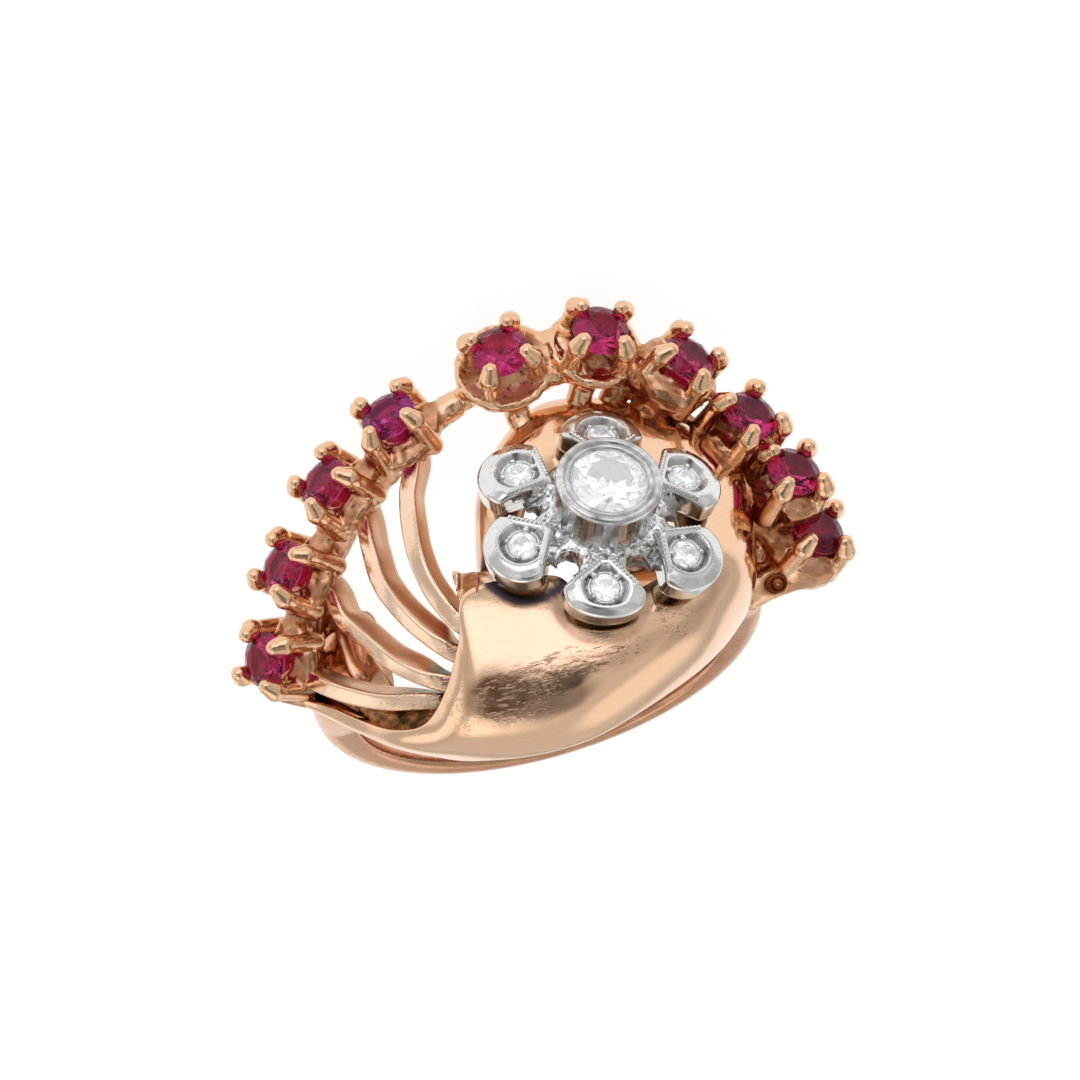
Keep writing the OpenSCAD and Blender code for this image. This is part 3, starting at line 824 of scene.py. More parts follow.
@dataclass
class Scroll:
    """Hollow scroll of sheet gold, with rounded rims, open at its mouth and under the flower."""

    steps: int = 360
    across: int = 56
    rim_steps: int = 7
    lip: float = 0.07
    rim_power: float = 0.6
    petal_r: float = 1.82
    shadows: tuple[tuple[int, float], ...] = ((3, 1.0), (4, 0.7), (5, 0.35), (2, 0.5))
    tarnished: int = 3
    # Painted dark reflection: a dark brown patch on the scroll's front, as its middle and half-widths.
    dark_reflection: tuple[Spot, Spot] = ((-1.9, -7.5, 12.1), (2.5, 1.5, 1.5))
    # Painted shade: darker patches beside the curled end and on the front wall, each a strength, a middle and
    # half-widths.
    shaded_patches: tuple[tuple[float, Spot, Spot], ...] = (
        (0.45, (-1.9, -0.8, 11.3), (1.0, 3.2, 2.6)),
        (0.5, (-0.9, -8.2, 11.7), (2.4, 1.4, 1.7)),
        (0.4, (1.6, -7.0, 12.3), (3.4, 0.7, 0.9)),
    )
    wear: float = 0.04
    scratches: tuple[tuple[float, Spot, Spot], ...] = (
        (0.96, (-1.3, -7.7, 12.0), (2.5, 1.6, 1.4)),
        (0.75, (2.4, -6.8, 12.4), (4.4, 0.9, 0.9)),
        (0.4, (6.4, -5.7, 11.4), (2.2, 1.2, 0.9)),
        (0.3, (-3.6, -7.6, 11.6), (1.4, 1.6, 2.2)),
    )

    def build(self) -> Piece:
        """Carries a closed section along the scroll: out over the outer face, round the upper rim, back
        along the inner face, one wall further in, and round the foot's rim.

        Returns:
            The shell.
        """
        last = len(SCROLL_FEET) - 1
        s, t = np.meshgrid(np.linspace(0, last, self.steps), np.linspace(0, 1, self.across), indexing="ij")
        outer, normal = scroll_point(s, t), scroll_normal(s, t)
        inner = outer - SCROLL_WALL * normal
        way = unit(scroll_point(s, np.clip(t + 0.02, 0, 1)) - scroll_point(s, np.clip(t - 0.02, 0, 1)))
        swing = np.linspace(0, pi, self.rim_steps + 2)[1:-1]

        def rim(column: int, sign: float) -> Array:
            """Points round one rim, from the outer face to the inner one."""
            middle = (outer[:, column] + inner[:, column]) / 2
            flat = squared(np.cos(swing), self.rim_power)
            over = SCROLL_WALL / 2 * flat[None, :, None] * normal[:, column][:, None]
            out = sign * self.lip * (np.sin(swing) ** 0.7)[None, :, None] * way[:, column][:, None]
            return middle[:, None] + over + out

        rings = np.concatenate([outer, rim(-1, 1.0), inner[:, ::-1], rim(0, -1.0)[:, ::-1]], 1)
        points, faces = lofted(rings)
        side = np.zeros(rings.shape[:2])
        side[:, self.across + self.rim_steps : 2 * self.across + self.rim_steps] = 1
        marks = self.marks(points, with_ends(side), with_ends(np.repeat(s[:, :1], rings.shape[1], 1)))
        piece = make_piece("scroll_shell", points, faces, marks=marks)
        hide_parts("scroll_mount")
        return piece

    def marks(self, points: Array, inner: Array, rows: Array) -> dict[str, Array]:
        """Paints shade over the hollow and in the mouth, which is tarnished as well, and round the petals'
        feet, paints a dark reflection and darker patches on the front, and wears the front.

        Args:
            points: The shell's points.
            inner: 1 where they are on its inner face, else 0.
            rows: The row of the scroll that each one is on.

        Returns:
            The marks that the metal reads.
        """
        # Painted shade over the scroll's inner face.
        soil_and_shade = 0.55 * inner
        tarnish = np.zeros(len(points))
        # Painted shadow in a band round each petal's foot; real tarnish under the lower-left one.
        for number, strength in self.shadows:
            local = petal_local(points, number)
            gap = np.hypot(local[:, 0], local[:, 1]) - self.petal_r
            beside = np.abs(local[:, 2] + 1) < 1.5
            soil_and_shade = np.maximum(soil_and_shade, strength * band((-0.3, -0.02), (0.2, 0.6), gap) * beside)
            if number == self.tarnished:
                tarnish = band((-0.3, -0.02), (0.15, 0.42), gap) * beside
        # Painted shade in the mouth's hollow, with some tarnish as well.
        mouth = inner * band((1.6, 3.0), (6.0, 7.0), rows)
        tarnish = np.maximum(tarnish, 0.55 * mouth)
        # Lumps that break up the painted dark reflection on the front.
        broken = 0.85 + 0.12 * ripple(points, 0.9, 4)
        # Painted shade in the darker patches.
        patches = [strength * near(points, centre, reach) for strength, centre, reach in self.shaded_patches]
        soil_and_shade = np.maximum.reduce([soil_and_shade, 0.9 * mouth, broken * near(points, *self.dark_reflection), *patches])
        worn = [strength * near(points, centre, reach) for strength, centre, reach in self.scratches]
        return {"soil_and_shade": soil_and_shade, "worn": np.maximum.reduce([self.wear + worn[0], *worn[1:]]), "tarnish": tarnish}


@dataclass
class Wires:
    """Four filed bars that fan out of the scroll's mouth to the first four cups.

    A joint is a row and a share of the scroll. A patch of crumbs is its middle, its half-width and a count.
    """

    width: float = 0.9
    depth: float = 1.2
    leans: tuple[float, ...] = (26.0, 44.0, 42.0, 26.0)
    grime: tuple[float, ...] = (2.0, 2.2, 1.6, 1.3)
    smear: tuple[float, ...] = (0.9, 0.7, 0.4, 0.3)
    joints: tuple[tuple[float, float], ...] = ((5.6, 0.5), (6.0, 0.72), (6.5, 0.84), (7.1, 0.9))
    steps_per_row: int = 14
    sides: int = 36
    corner_power: float = 0.38
    seed: int = 21
    step: float = 0.08
    faces_to: Spot = (0.0, -0.42, 0.91)
    crumbs: tuple[tuple[Spot, float, int], ...] = (
        ((-3.9, -6.4, 8.9), 0.55, 16), ((-3.3, -6.0, 9.5), 0.4, 10),
    )

    def build(self) -> list[Piece]:
        """Carries a section with rounded corners along each route, its upper face on the route.

        Returns:
            One bar for each route.
        """
        turn = np.linspace(0, 2 * pi, self.sides, endpoint=False)
        wide, high = squared(np.cos(turn), self.corner_power), squared(np.sin(turn), self.corner_power)
        pieces = []
        for number, route in enumerate(WIRE_ROUTES):
            rows = np.array(route)
            last = len(rows) - 1
            s = np.linspace(0, last, last * self.steps_per_row + 1)
            middle = along(rows, s)
            ahead = unit(along(rows, np.minimum(s + 0.05, last)) - along(rows, np.maximum(s - 0.05, 0)))
            beside = unit(np.cross(ahead, np.array(self.faces_to)))
            up = np.cross(beside, ahead)
            lean = radians(self.leans[number]) * eased(0.5, 2.5, s)[:, None]
            beside, up = np.cos(lean) * beside + np.sin(lean) * up, np.cos(lean) * up - np.sin(lean) * beside
            uneven = 1 + 0.015 * np.sin(2.3 * s + number) + 0.01 * np.sin(5.1 * s + 2 * number)
            x = (self.width / 2 * uneven)[:, None] * wide * (1 - 0.06 * (high > 0.5))
            y = self.depth / 2 * (high - 0.9)[None, :] * np.ones_like(x)
            rings = middle[:, None] + x[..., None] * beside[:, None] + y[..., None] * up[:, None]
            points, faces = lofted(rings)
            flank = eased(0.80, 0.97, np.abs(wide)) * faded(0.75, 0.95, high)
            soil_and_shade = np.broadcast_to(0.9 * flank + 0.3 * (high < -0.5), x.shape)
            line = faded(0.5, 1.0, s / self.grime[number])[:, None] * flank
            broken = 0.75 + 0.5 * ripple(rings, 0.5, 12 + number)
            root = np.maximum(line, self.smear[number] * broken * faded(0.5, 1.25, s)[:, None])
            worn = np.broadcast_to((0.03 + 0.5 * faded(0.8, 2.4, s))[:, None], x.shape)
            marks = {"soil_and_shade": with_ends(soil_and_shade), "worn": with_ends(worn), "tarnish": with_ends(root)}
            pieces.append(make_piece(f"wire_{number + 1}", points, faces, marks=marks))
        return pieces

    def solder(self) -> Piece:
        """Blends the solder that joins the bars to the scroll's inner face, lumpy and full of polish.

        Returns:
            A dark fillet along the lowest bar's underside, a joint at each root, and crumbs round two roots.
        """
        random = np.random.default_rng(self.seed)
        casting = Casting((-10.2, -8.8, 4.6), (-0.6, -2.4, 13.2), self.step)
        bar = along(np.array(WIRE_ROUTES[0]), np.linspace(0.0, 2.7, 10))
        under, root = np.array([0, 0.35, -0.95]), np.array([0, 0.2, -0.5])
        for at, row in zip(bar, np.linspace(5.5, 2.2, 10)):
            casting.rod(at + under, scroll_inner(row, 0.5), 0.32, 0.32, 0.35)
        for route, (row, share) in zip(WIRE_ROUTES, self.joints):
            casting.rod(route[0] + root, scroll_inner(row, share), 0.5, 0.5, 0.3)
        for centre, reach, count in self.crumbs:
            for _ in range(count):
                at = np.array(centre) + random.uniform(-reach, reach, 3)
                casting.rod(at, at + random.uniform(-0.25, 0.25, 3), random.uniform(0.14, 0.3), 0.14, 0.12)
        casting.roughen(0.5, 0.05, 6)
        points, faces = casting.skin()
        tarnish = np.clip(0.6 + 0.6 * ripple(points, 0.7, 31), 0, 1)
        marks = {"soil_and_shade": np.ones(len(points)), "worn": np.full(len(points), 0.2), "tarnish": tarnish}
        return make_piece("mouth_solder", points, faces, marks=marks)


@dataclass
class Castings:
    """Ruby cups with their claws, the webs between them, and what carries them.

    The bowl, the block and the filled cup are half sections, from the stone's girdle down. A bar is a depth
    under each of two neighbours and a radius. A strut is a cup and a depth, a row and a share of the scroll,
    and its radius at either end.
    """

    step: float = 0.085
    reach: float = 3.4
    bowl: Profile = (
        (0, -2.8), (0.95, -2.8), (1.4, -2.4), (1.8, -1.9), (2.06, -1.45), (2.04, -1.24), (1.88, -1.14),
        (1.72, -1.3), (1.35, -1.62), (0.8, -1.72), (0, -1.75),
    )
    block: Profile = (
        (0, -2.8), (0.95, -2.8), (1.4, -2.4), (1.78, -1.9), (1.96, -1.5), (1.9, -1.28), (1.6, -1.14),
        (1.25, -1.0), (1.08, -0.86), (0.96, -0.86), (0.8, -1.05), (0, -1.35),
    )
    filled: Profile = (
        (0, -2.8), (0.95, -2.8), (1.4, -2.4), (1.85, -1.9), (2.1, -1.4), (2.1, -0.98), (1.85, -0.74),
        (1.4, -0.62), (1.15, -0.5), (1.0, -0.62), (0.8, -0.95), (0, -1.35),
    )
    open_cups: tuple[int, ...] = (4, 5)
    dull_cup: int = 4
    fan: tuple[float, ...] = (-0.95, -0.3, 0.35, 1.0)
    webs: tuple[tuple[int, float], ...] = ((6, 17.9), (7, 17.1), (8, 16.3), (9, 15.4))
    clear_rows: tuple[float, ...] = (13.6, 14.3, 15.0, 15.7, 16.4, 17.1)
    clear_shares: tuple[float, ...] = (0.42, 0.28)
    clear_out: float = 0.8
    clear_r: float = 0.75
    claw_parts: tuple[tuple[Spot, Spot, tuple[float, float]], ...] = (
        ((1.60, 0, -1.75), (1.56, 0, 0.0), (0.44, 0.38)), ((1.50, 0, 0.10), (1.27, 0, 0.50), (0.49, 0.36)),
    )
    widths: tuple[float, ...] = (0.86, 0.86, 0.88, 0.92, 1.06, 1.0, 0.92, 0.9, 0.88, 0.88)
    # How strongly each cup's hollow is darkened, by grease and painted shade, and how much painted shade lies
    # under it.
    grease_and_shade: tuple[float, ...] = (0.7, 0.7, 0.6, 0.5, 0.0, 0.9, 0.7, 0.8, 0.8, 0.8)
    under_shade: tuple[float, ...] = (0.7, 0.7, 0.6, 0.4, 0.2, 0.55, 0.85, 0.9, 0.9, 0.7)
    scroll_struts: tuple[tuple[int, float, float, float, float, float], ...] = (
        (4, 2.1, 20.6, 0.5, 0.63, 0.5), (5, 2.1, 19.3, 0.45, 0.64, 0.5), (6, 2.2, 18.1, 0.42, 0.66, 0.5),
        (7, 2.5, 17.1, 0.22, 0.6, 0.5), (8, 2.6, 16.3, 0.12, 0.6, 0.5), (9, 2.5, 15, 0.04, 0.62, 0.55),
    )
    bars: tuple[tuple[float, float, float], ...] = ((1.6, 1.75, 0.66), (2.3, 2.4, 0.55))
    near_shoulder: tuple[tuple[float, Spot, float], ...] = (
        (2.15, (-8.9, -1.1, 4.8), 0.74), (2.5, (-8.6, 0.1, 5.2), 0.62),
    )
    tail_link: tuple[Spot, Spot] = ((-10.3, -2.8, 5.65), (-11.7, -2.15, 6.3))
    far_shoulder: tuple[Spot, ...] = ((9.6, -1.9, 4.4), (9.8, 0.6, 3.6), (12.7, -1.3, 4.0))
    far_edge: tuple[Spot, Spot] = ((9.7, -1.7, 4.3), (12.9, -1.2, 4.15))
    pit: Spot = (10.95, -2.05, 4.95)
    tab: Seat = Seat((-2.25, -2.25, 12.95), 14, 168, 0)
    tab_parts: tuple[tuple[Spot, Spot], ...] = (
        ((-0.05, 0.2, -0.1), (0.52, 0.62, 0.13)), ((0.45, 0.0, 0.05), (0.17, 0.44, 0.28)),
    )

    def claws(self, local: Array) -> Array:
        """Signed distance to four claws: a post beside the stone under an egg-shaped tip that leans in."""
        x, y = np.abs(local[..., 0]), np.abs(local[..., 1])
        one = np.stack([np.maximum(x, y), np.minimum(x, y), local[..., 2]], -1)
        post, tip = (round_cone(one, np.array(a), np.array(b), *radii) for a, b, radii in self.claw_parts)
        return blend(post, tip, 0.12)

    def cup(self, casting: Casting, number: int) -> None:
        """Blends one cup into a casting: an open bowl, or a block that is filled up under the stone.

        Args:
            casting: The metal that they join.
            number: Which ruby's cup.
        """
        seat = RUBY_SEATS[number]
        shape = self.bowl if number in self.open_cups else self.block if number < 4 else self.filled
        profile = np.array(shape) * [self.widths[number], 1]
        casting.add(seat.below(0.9), self.reach, lambda p: turned(seat.local(p), profile) - 0.02, 0.25)

    def claw(self, casting: Casting, number: int) -> None:
        """Blends one cup's four claws into a casting, after the rest of it was roughened."""
        seat = RUBY_SEATS[number]
        casting.add(seat.below(0.9), self.reach, lambda p: self.claws(seat.local(p)), 0.1)

    def by_wires(self) -> Casting:
        """The four cups on the bars, with what joins them to each other, the hoop and the scroll's tail."""
        casting = Casting((-15.2, -4.6, 2.6), (0.2, 9.8, 14.4), self.step)
        for number in range(4):
            self.cup(casting, number)
        for a, b in zip(RUBY_SEATS[:3], RUBY_SEATS[1:4]):
            for here, there, r in self.bars:
                casting.rod(a.below(here), b.below(there), r, r, 0.45)
        for seat, (depth, foot, r) in zip(RUBY_SEATS, self.near_shoulder):
            casting.rod(seat.below(depth), foot, r, 0.6, 0.4)
        start, end = RUBY_SEATS[3].below(1.6), RUBY_SEATS[4].below(1.8)
        casting.rod(start, 0.5 * start + 0.5 * end, 0.66, 0.62, 0.4)
        casting.roughen(0.8, 0.035, 3)
        casting.rod(*self.tail_link, 0.32, 0.46, 0.3)
        for number in range(4):
            self.claw(casting, number)
        return casting

    def by_scroll(self) -> Casting:
        """The six cups beside the scroll, their webs and struts, the far shoulder, and the tab between."""
        casting = Casting((-2.8, -4.2, 2.2), (16.4, 11.2, 15.2), self.step)
        for number in range(4, 10):
            self.cup(casting, number)
        start, end = RUBY_SEATS[3].below(1.6), RUBY_SEATS[4].below(1.8)
        casting.rod(0.6 * start + 0.4 * end, end, 0.5, 0.66, 0.3)
        toward = unit(RUBY_SEATS[5].below(1.6) - RUBY_SEATS[4].below(1.5))
        for side in self.fan:
            beside = np.array([0, side, 0])
            start = RUBY_SEATS[4].below(1.5) + 1.6 * toward + beside
            casting.rod(start, RUBY_SEATS[5].below(1.45) - toward + 0.8 * beside, 0.38, 0.5, 0.4)
        for k in range(5, 9):
            row = (self.scroll_struts[k - 4][2] + self.scroll_struts[k - 3][2]) / 2
            middle = (RUBY_SEATS[k].below(2.6) + RUBY_SEATS[k + 1].below(2.6)) / 2
            casting.rod(middle, scroll_inner(row, 0.3 if k == 5 else 0.12), 0.64, 0.56, 0.4)
        for a, b in zip(RUBY_SEATS[4:9], RUBY_SEATS[5:]):
            casting.rod(a.below(1.75), b.below(1.85), 0.66, 0.66, 0.5)
        for number, row in self.webs:
            from_cup, foot = RUBY_SEATS[number].below(1.35), scroll_inner(row, 0.3)
            casting.rod(from_cup + 1.1 * unit(foot - from_cup), foot, 0.75, 0.6, 0.5)
        for cup, depth, row, share, cup_r, scroll_r in self.scroll_struts:
            casting.rod(RUBY_SEATS[cup].below(depth), scroll_inner(row, share), cup_r, scroll_r, 0.35)
        for a, b in combinations((*self.far_shoulder, RUBY_SEATS[9].below(2.4)), 2):
            casting.rod(a, b, 0.6, 0.6, 0.6)
        for share in self.clear_shares:
            rows, shares = np.array(self.clear_rows), np.full(len(self.clear_rows), share)
            shown = scroll_point(rows, shares) + self.clear_out * scroll_normal(rows, shares)
            for a, b in zip(shown, shown[1:]):
                reach = float(np.abs(b - a).max()) / 2 + 1.0
                casting.bore((a + b) / 2, reach, (a, b), (self.clear_r, self.clear_r), 0.2)
        casting.roughen(0.9, 0.035, 5)
        for number in range(4, 10):
            self.claw(casting, number)
        casting.rod(*self.far_edge, 0.72, 0.66, 0.3)
        pit = np.array(self.pit)
        casting.bore(pit, 1.6, (pit, pit + [0.1, 0.35, -0.8]), (0.5, 0.3), 0.12)
        for middle, half in self.tab_parts:
            at = np.array(middle)
            casting.add(np.array(self.tab.at), 1.6, lambda p: boxed(self.tab.local(p) - at, half, 0.06), 0.07)
        return casting

    def marks(self, points: Array, by_scroll: bool) -> dict[str, Array]:
        """Darkens the cups' hollows with real grease and painted shade, paints shade under the cups and in
        the pit, darkens the blocks' sides and the tab, and dulls the open bowl.

        Args:
            points: The casting's points.
            by_scroll: Whether it has the mouth's tab and the pit.

        Returns:
            The marks that the metal reads.
        """
        soil_and_shade, matte = np.zeros(len(points)), np.zeros(len(points))
        for number, seat in enumerate(RUBY_SEATS):
            local = seat.local(points)
            x, y, z = np.abs(local[:, 0]), np.abs(local[:, 1]), local[:, 2]
            r = np.hypot(x, y)
            # Darker in each cup's hollow under its stone: real grease with painted shade.
            deep = faded(1.1, 1.75, r) * band((-2.3, -1.7), (-0.6, -0.1), z)
            # Painted shade on what lies under each cup.
            under = faded(2.0, 2.8, r) * band((-4.4, -3.4), (-1.9, -1.0), z)
            soil_and_shade = np.maximum.reduce([soil_and_shade, self.grease_and_shade[number] * deep, self.under_shade[number] * under])
            claw = eased(1.1, 1.3, np.maximum(x, y)) * faded(0.4, 0.6, np.minimum(x, y))
            side = faded(1.9, 2.3, r) * band((-3.0, -2.2), (-0.6, -0.2), z)
            if number not in self.open_cups:
                soil_and_shade = np.maximum(soil_and_shade, 0.8 * side * (1 - claw) + 0.35 * side * claw * (z < -0.3))
            if number == self.dull_cup:
                matte = faded(1.95, 2.15, r) * eased(-2.2, -1.8, z) * (z < -0.9)
        if by_scroll:
            # The tab is darkened all over, and painted shade goes inside the pit.
            tab = near(points, (-2.05, -2.45, 13.0), (0.75, 0.95, 0.8))
            soil_and_shade = np.maximum.reduce([soil_and_shade, tab, near(points, self.pit, (0.95, 0.95, 0.95))])
        soil_and_shade = np.clip(soil_and_shade * (1 + 0.12 * ripple(points, 0.6, 9)), 0, 1)
        return {"soil_and_shade": soil_and_shade, "worn": np.full(len(points), 0.1), "matte": matte}

    def build(self) -> list[Piece]:
        """Skins both groups of cups with all that carries them.

        Returns:
            The two castings.
        """
        pieces = []
        for name, casting in (("cups_by_wires", self.by_wires()), ("cups_by_scroll", self.by_scroll())):
            points, faces = casting.skin()
            marks = self.marks(points, name == "cups_by_scroll")
            pieces.append(make_piece(name, points, faces, marks=marks))
        return pieces


@dataclass
class Flower:
    """White-metal flower: a tall round bezel in the middle of six grained petals.

    Each petal is drawn in past its stone to a reach of its own, since they were made by hand. The sizes down
    to the beads' span are one petal's, in a frame with its diamond's girdle at the origin.
    """

    petal_r: float = 1.82
    apex: float = 1.66
    splay: float = 47.0
    petal_t: float = 0.95
    dome: float = 0.26
    rim_h: float = 0.28
    rim_w: float = 0.36
    rim_slope: float = 0.25
    corner_r: float = 0.12
    edge_r: float = 0.15
    well_r: float = 1.06
    well_slope: float = 0.8
    well_depth: float = 0.12
    seat_r: float = 0.70
    cone_slope: float = 1.08
    cone_top: float = 0.62
    cone_r: float = 0.66
    grain_at: tuple[float, float] = (0.68, 0.11)
    grain_r: tuple[float, float] = (0.18, 0.13)
    bead_r: float = 0.098
    bead_pitch: float = 0.2
    bead_span: tuple[float, float] = (0.35, 2.05)
    step: float = 0.046
    solder_step: float = 0.075
    seed: int = 11
    kept: float = 0.75
    reaches: tuple[float, ...] = (1.72, 1.78, 1.82, 1.72, 1.40, 1.72)
    beads: tuple[int, ...] = (5, 4, 5, 8, 10, 8)
    under: Profile = (
        (1.9, -0.95), (2.7, -0.95), (3.25, -0.8), (3.3, -0.55), (2.8, -0.25), (2.3, 0.0), (1.9, 0.1),
    )
    holes: tuple[float, ...] = (0.3, 0.35, 0.35, 0.35, 0.5, 0.5)
    holes_r: float = 3.0
    braces_r: float = 2.05
    strokes: tuple[int, ...] = (7, 12, 19, 26, 33, 41)
    dull: int = 1
    bezel_sides: int = 288

    def petal_field(self, p: Array) -> Array:
        """Signed distance to one petal, in its own frame with the stone's girdle at the origin.

        The outline is a disc, cut off by two straight sides that meet on the flower's side. A plate of that
        outline is hollowed round the stone, with sloping sides, and gets a thin seat, four grains and a row
        of beads along each straight side.
        """
        x, y, z = p[..., 0], np.abs(p[..., 1]), p[..., 2]
        sine, cosine = sin(radians(self.splay)), cos(radians(self.splay))
        off_line = -(x + self.apex) * sine + y * cosine
        on_line = (x + self.apex) * cosine + y * sine
        r = np.hypot(x, y)
        corner, edge = self.corner_r, self.edge_r
        gap = np.stack([r - self.petal_r + corner, off_line + corner], -1)
        outline = np.linalg.norm(np.maximum(gap, 0), axis=-1) + np.minimum(gap.max(-1), 0) - corner
        middle, half = (self.rim_h - self.petal_t) / 2, (self.rim_h + self.petal_t) / 2
        domed = z + self.dome * eased(1.15, self.petal_r + 0.1, r)
        across, up = outline + edge, np.maximum(domed - middle, middle - z) - half + edge
        past = np.hypot(np.maximum(across, 0), np.maximum(up, 0))
        plate = np.minimum(np.maximum(across, up), 0) + past - edge
        drop = self.rim_h - z
        sides = off_line + self.rim_w + self.rim_slope * drop
        inner = np.maximum(sides, r - self.well_r + self.well_slope * drop)
        wedge = np.maximum(inner, -self.well_depth + 0.35 * np.minimum(x + 0.5, 0) - z)
        solid = np.maximum(plate, -wedge)
        seat = np.maximum(np.abs(r - self.seat_r) - 0.05, np.abs(z + 0.14) - 0.18) - 0.02
        solid = np.minimum(solid, seat)
        cone = (r - self.cone_slope * (z + self.cone_top)) * 0.68
        solid = np.maximum(solid, -np.maximum(cone, r - self.cone_r) * (z > -0.7) - 9.0 * (z <= -0.7))
        a, b = np.abs(p[..., 0] - p[..., 1]) / np.sqrt(2), np.abs(p[..., 0] + p[..., 1]) / np.sqrt(2)
        beside, above = np.maximum(a, b) - self.grain_at[0], z - self.grain_at[1]
        grain = np.sqrt(beside**2 + np.minimum(a, b) ** 2 + above**2) - np.where(x < 0, *self.grain_r)
        bead_at = (np.round(np.clip(on_line, *self.bead_span) / self.bead_pitch)) * self.bead_pitch
        lift = z - self.rim_h - 0.01
        bead = np.sqrt((on_line - bead_at) ** 2 + (off_line + 0.13) ** 2 + lift**2) - self.bead_r
        return np.minimum(blend(solid, grain, 0.05), bead)

    def build(self) -> list[Piece]:
        """Skins one petal, sets it round the flower six times, and turns the bezel.

        Returns:
            The bezel, the solder under the petals, and the petals.
        """
        casting = Casting((-2.15, -2.05, -1.15), (2.05, 2.05, 0.6), self.step)
        casting.add(np.array([-0.1, 0, -0.2]), 2.6, self.petal_field, 0.001)
        petal, faces = casting.skin()
        r = np.hypot(petal[:, 0], petal[:, 1])
        recess = eased(0.02, 0.12, self.rim_h - petal[:, 2]) * faded(0.95, 1.15, r)
        under = faded(-0.95, -0.7, petal[:, 2])
        angle = np.arctan2(petal[:, 1], petal[:, 0])
        dotted = np.exp(-(((r - 1.17) / 0.035) ** 2)) * (np.sin(44 * angle) > 0) * (np.abs(angle) < 1.9)
        lines = 0.7 * dotted * (petal[:, 2] > 0.2)
        soil_and_shade = np.maximum.reduce([0.62 * recess * eased(0.66, 0.8, r), 0.65 * under, lines])
        pieces = [self.bezel(), self.solder()]
        for k, reach in enumerate(self.reaches):
            past = np.maximum(petal[:, 0] - self.kept, 0)
            drawn = petal.copy()
            drawn[:, 0] -= past * (1 - (reach - self.kept) / (self.petal_r - self.kept))
            matte = np.full(len(petal), 0.3 if k == self.dull else 0.0)
            marks = {"soil_and_shade": soil_and_shade, "worn": np.full(len(petal), 0.1), "matte": matte}
            placed = petal_placed(drawn, k)
            pieces.append(make_piece(f"petal_{k + 1}", placed, faces, marks=marks))
        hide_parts("flower_setting")
        return pieces

    def solder(self) -> Piece:
        """Blends small beads of solder round the bezel's foot, over a pierced plate under the petals."""
        random = np.random.default_rng(self.seed)
        casting = Casting((-3.7, -3.7, -1.3), (3.7, 3.7, 1.2), self.solder_step)
        casting.add(np.zeros(3), 3.8, lambda p: turned(p, np.array(self.under)) - 0.05, 0.1)
        for k, hole in enumerate(self.holes):
            a = radians(60 * k)
            foot = np.array([self.holes_r * cos(a), self.holes_r * sin(a), -1.5])
            casting.bore(foot, 2.4, (foot, foot + [0, 0, 3.0]), (hole, hole), 0.12)
        for k, count in enumerate(self.beads):
            for _ in range(count):
                a = radians(30 + 60 * k + random.uniform(-27, 27))
                r, size = random.uniform(2.15, 2.65), random.uniform(0.14, 0.28)
                at = np.array([r * cos(a), r * sin(a), random.uniform(-0.35, 0.1) + 0.5 * (2.5 - r)])
                casting.rod(at, at + random.uniform(-0.2, 0.2, 3), size, 0.7 * size, 0.22)
            for swing in (-9, 9):
                a = radians(30 + 60 * k + swing)
                foot = np.array([self.braces_r * cos(a), self.braces_r * sin(a), 0.1])
                casting.rod(foot, foot * [1.25, 1.25, 1.0] + np.array([0, 0, 0.1]), 0.3, 0.26, 0.2)
        casting.roughen(0.35, 0.04, 8)
        points, faces = casting.skin()
        marks = {"soil_and_shade": 0.85 * faded(-0.6, 0.15, points[:, 2]), "worn": np.full(len(points), 0.1)}
        return make_piece("flower_solder", FLOWER.placed(points), faces, marks=marks)

    def bezel(self) -> Piece:
        """Turns the bezel's section: a tall wall, a double rim with a thin groove, and a seat inside."""
        section = np.array([
            [2.02, -1.5], [2.1, -0.9], [2.2, 0.2], [2.27, 1.2], [2.33, 1.95], [2.35, 2.1], [2.345, 2.22],
            [2.30, 2.33], [2.22, 2.385], [2.12, 2.39], [2.03, 2.36], [1.99, 2.30], [1.955, 2.27],
            [1.92, 2.29], [1.87, 2.345], [1.80, 2.34], [1.73, 2.29], [1.69, 2.22], [1.72, 2.12],
            [1.87, 2.05], [1.87, 1.88], [1.62, 1.56], [0.06, 0.20], [0.06, -0.1], [1.5, -0.1], [1.55, -1.5],
        ])
        angle = np.linspace(0, 2 * pi, self.bezel_sides, endpoint=False)[:, None]
        r, z = section[None, :, 0], section[None, :, 1]
        filed = sum(np.sin(n * angle + 1.7 * n) for n in self.strokes) / len(self.strokes)
        r = r + 0.03 * filed * (r > 2.0) * (z < 2.0)
        rings = np.stack([r * np.cos(angle), r * np.sin(angle), z * np.ones_like(angle)], -1)
        points, faces = lofted(rings, closed=True)
        around, low = np.hypot(points[:, 0], points[:, 1]), points[:, 2]
        foot = 0.75 * faded(-0.3, 0.6, low) * (around > 1.7)
        groove = 0.7 * (np.abs(around - 1.955) < 0.03) * (low > 2)
        soil_and_shade = np.maximum.reduce([foot, groove, 0.42 + 0.22 * ripple(points, 0.8, 2)])
        marks = {"soil_and_shade": soil_and_shade, "worn": np.full(len(points), 0.25)}
        return make_piece("bezel", FLOWER.placed(points), faces, marks=marks)


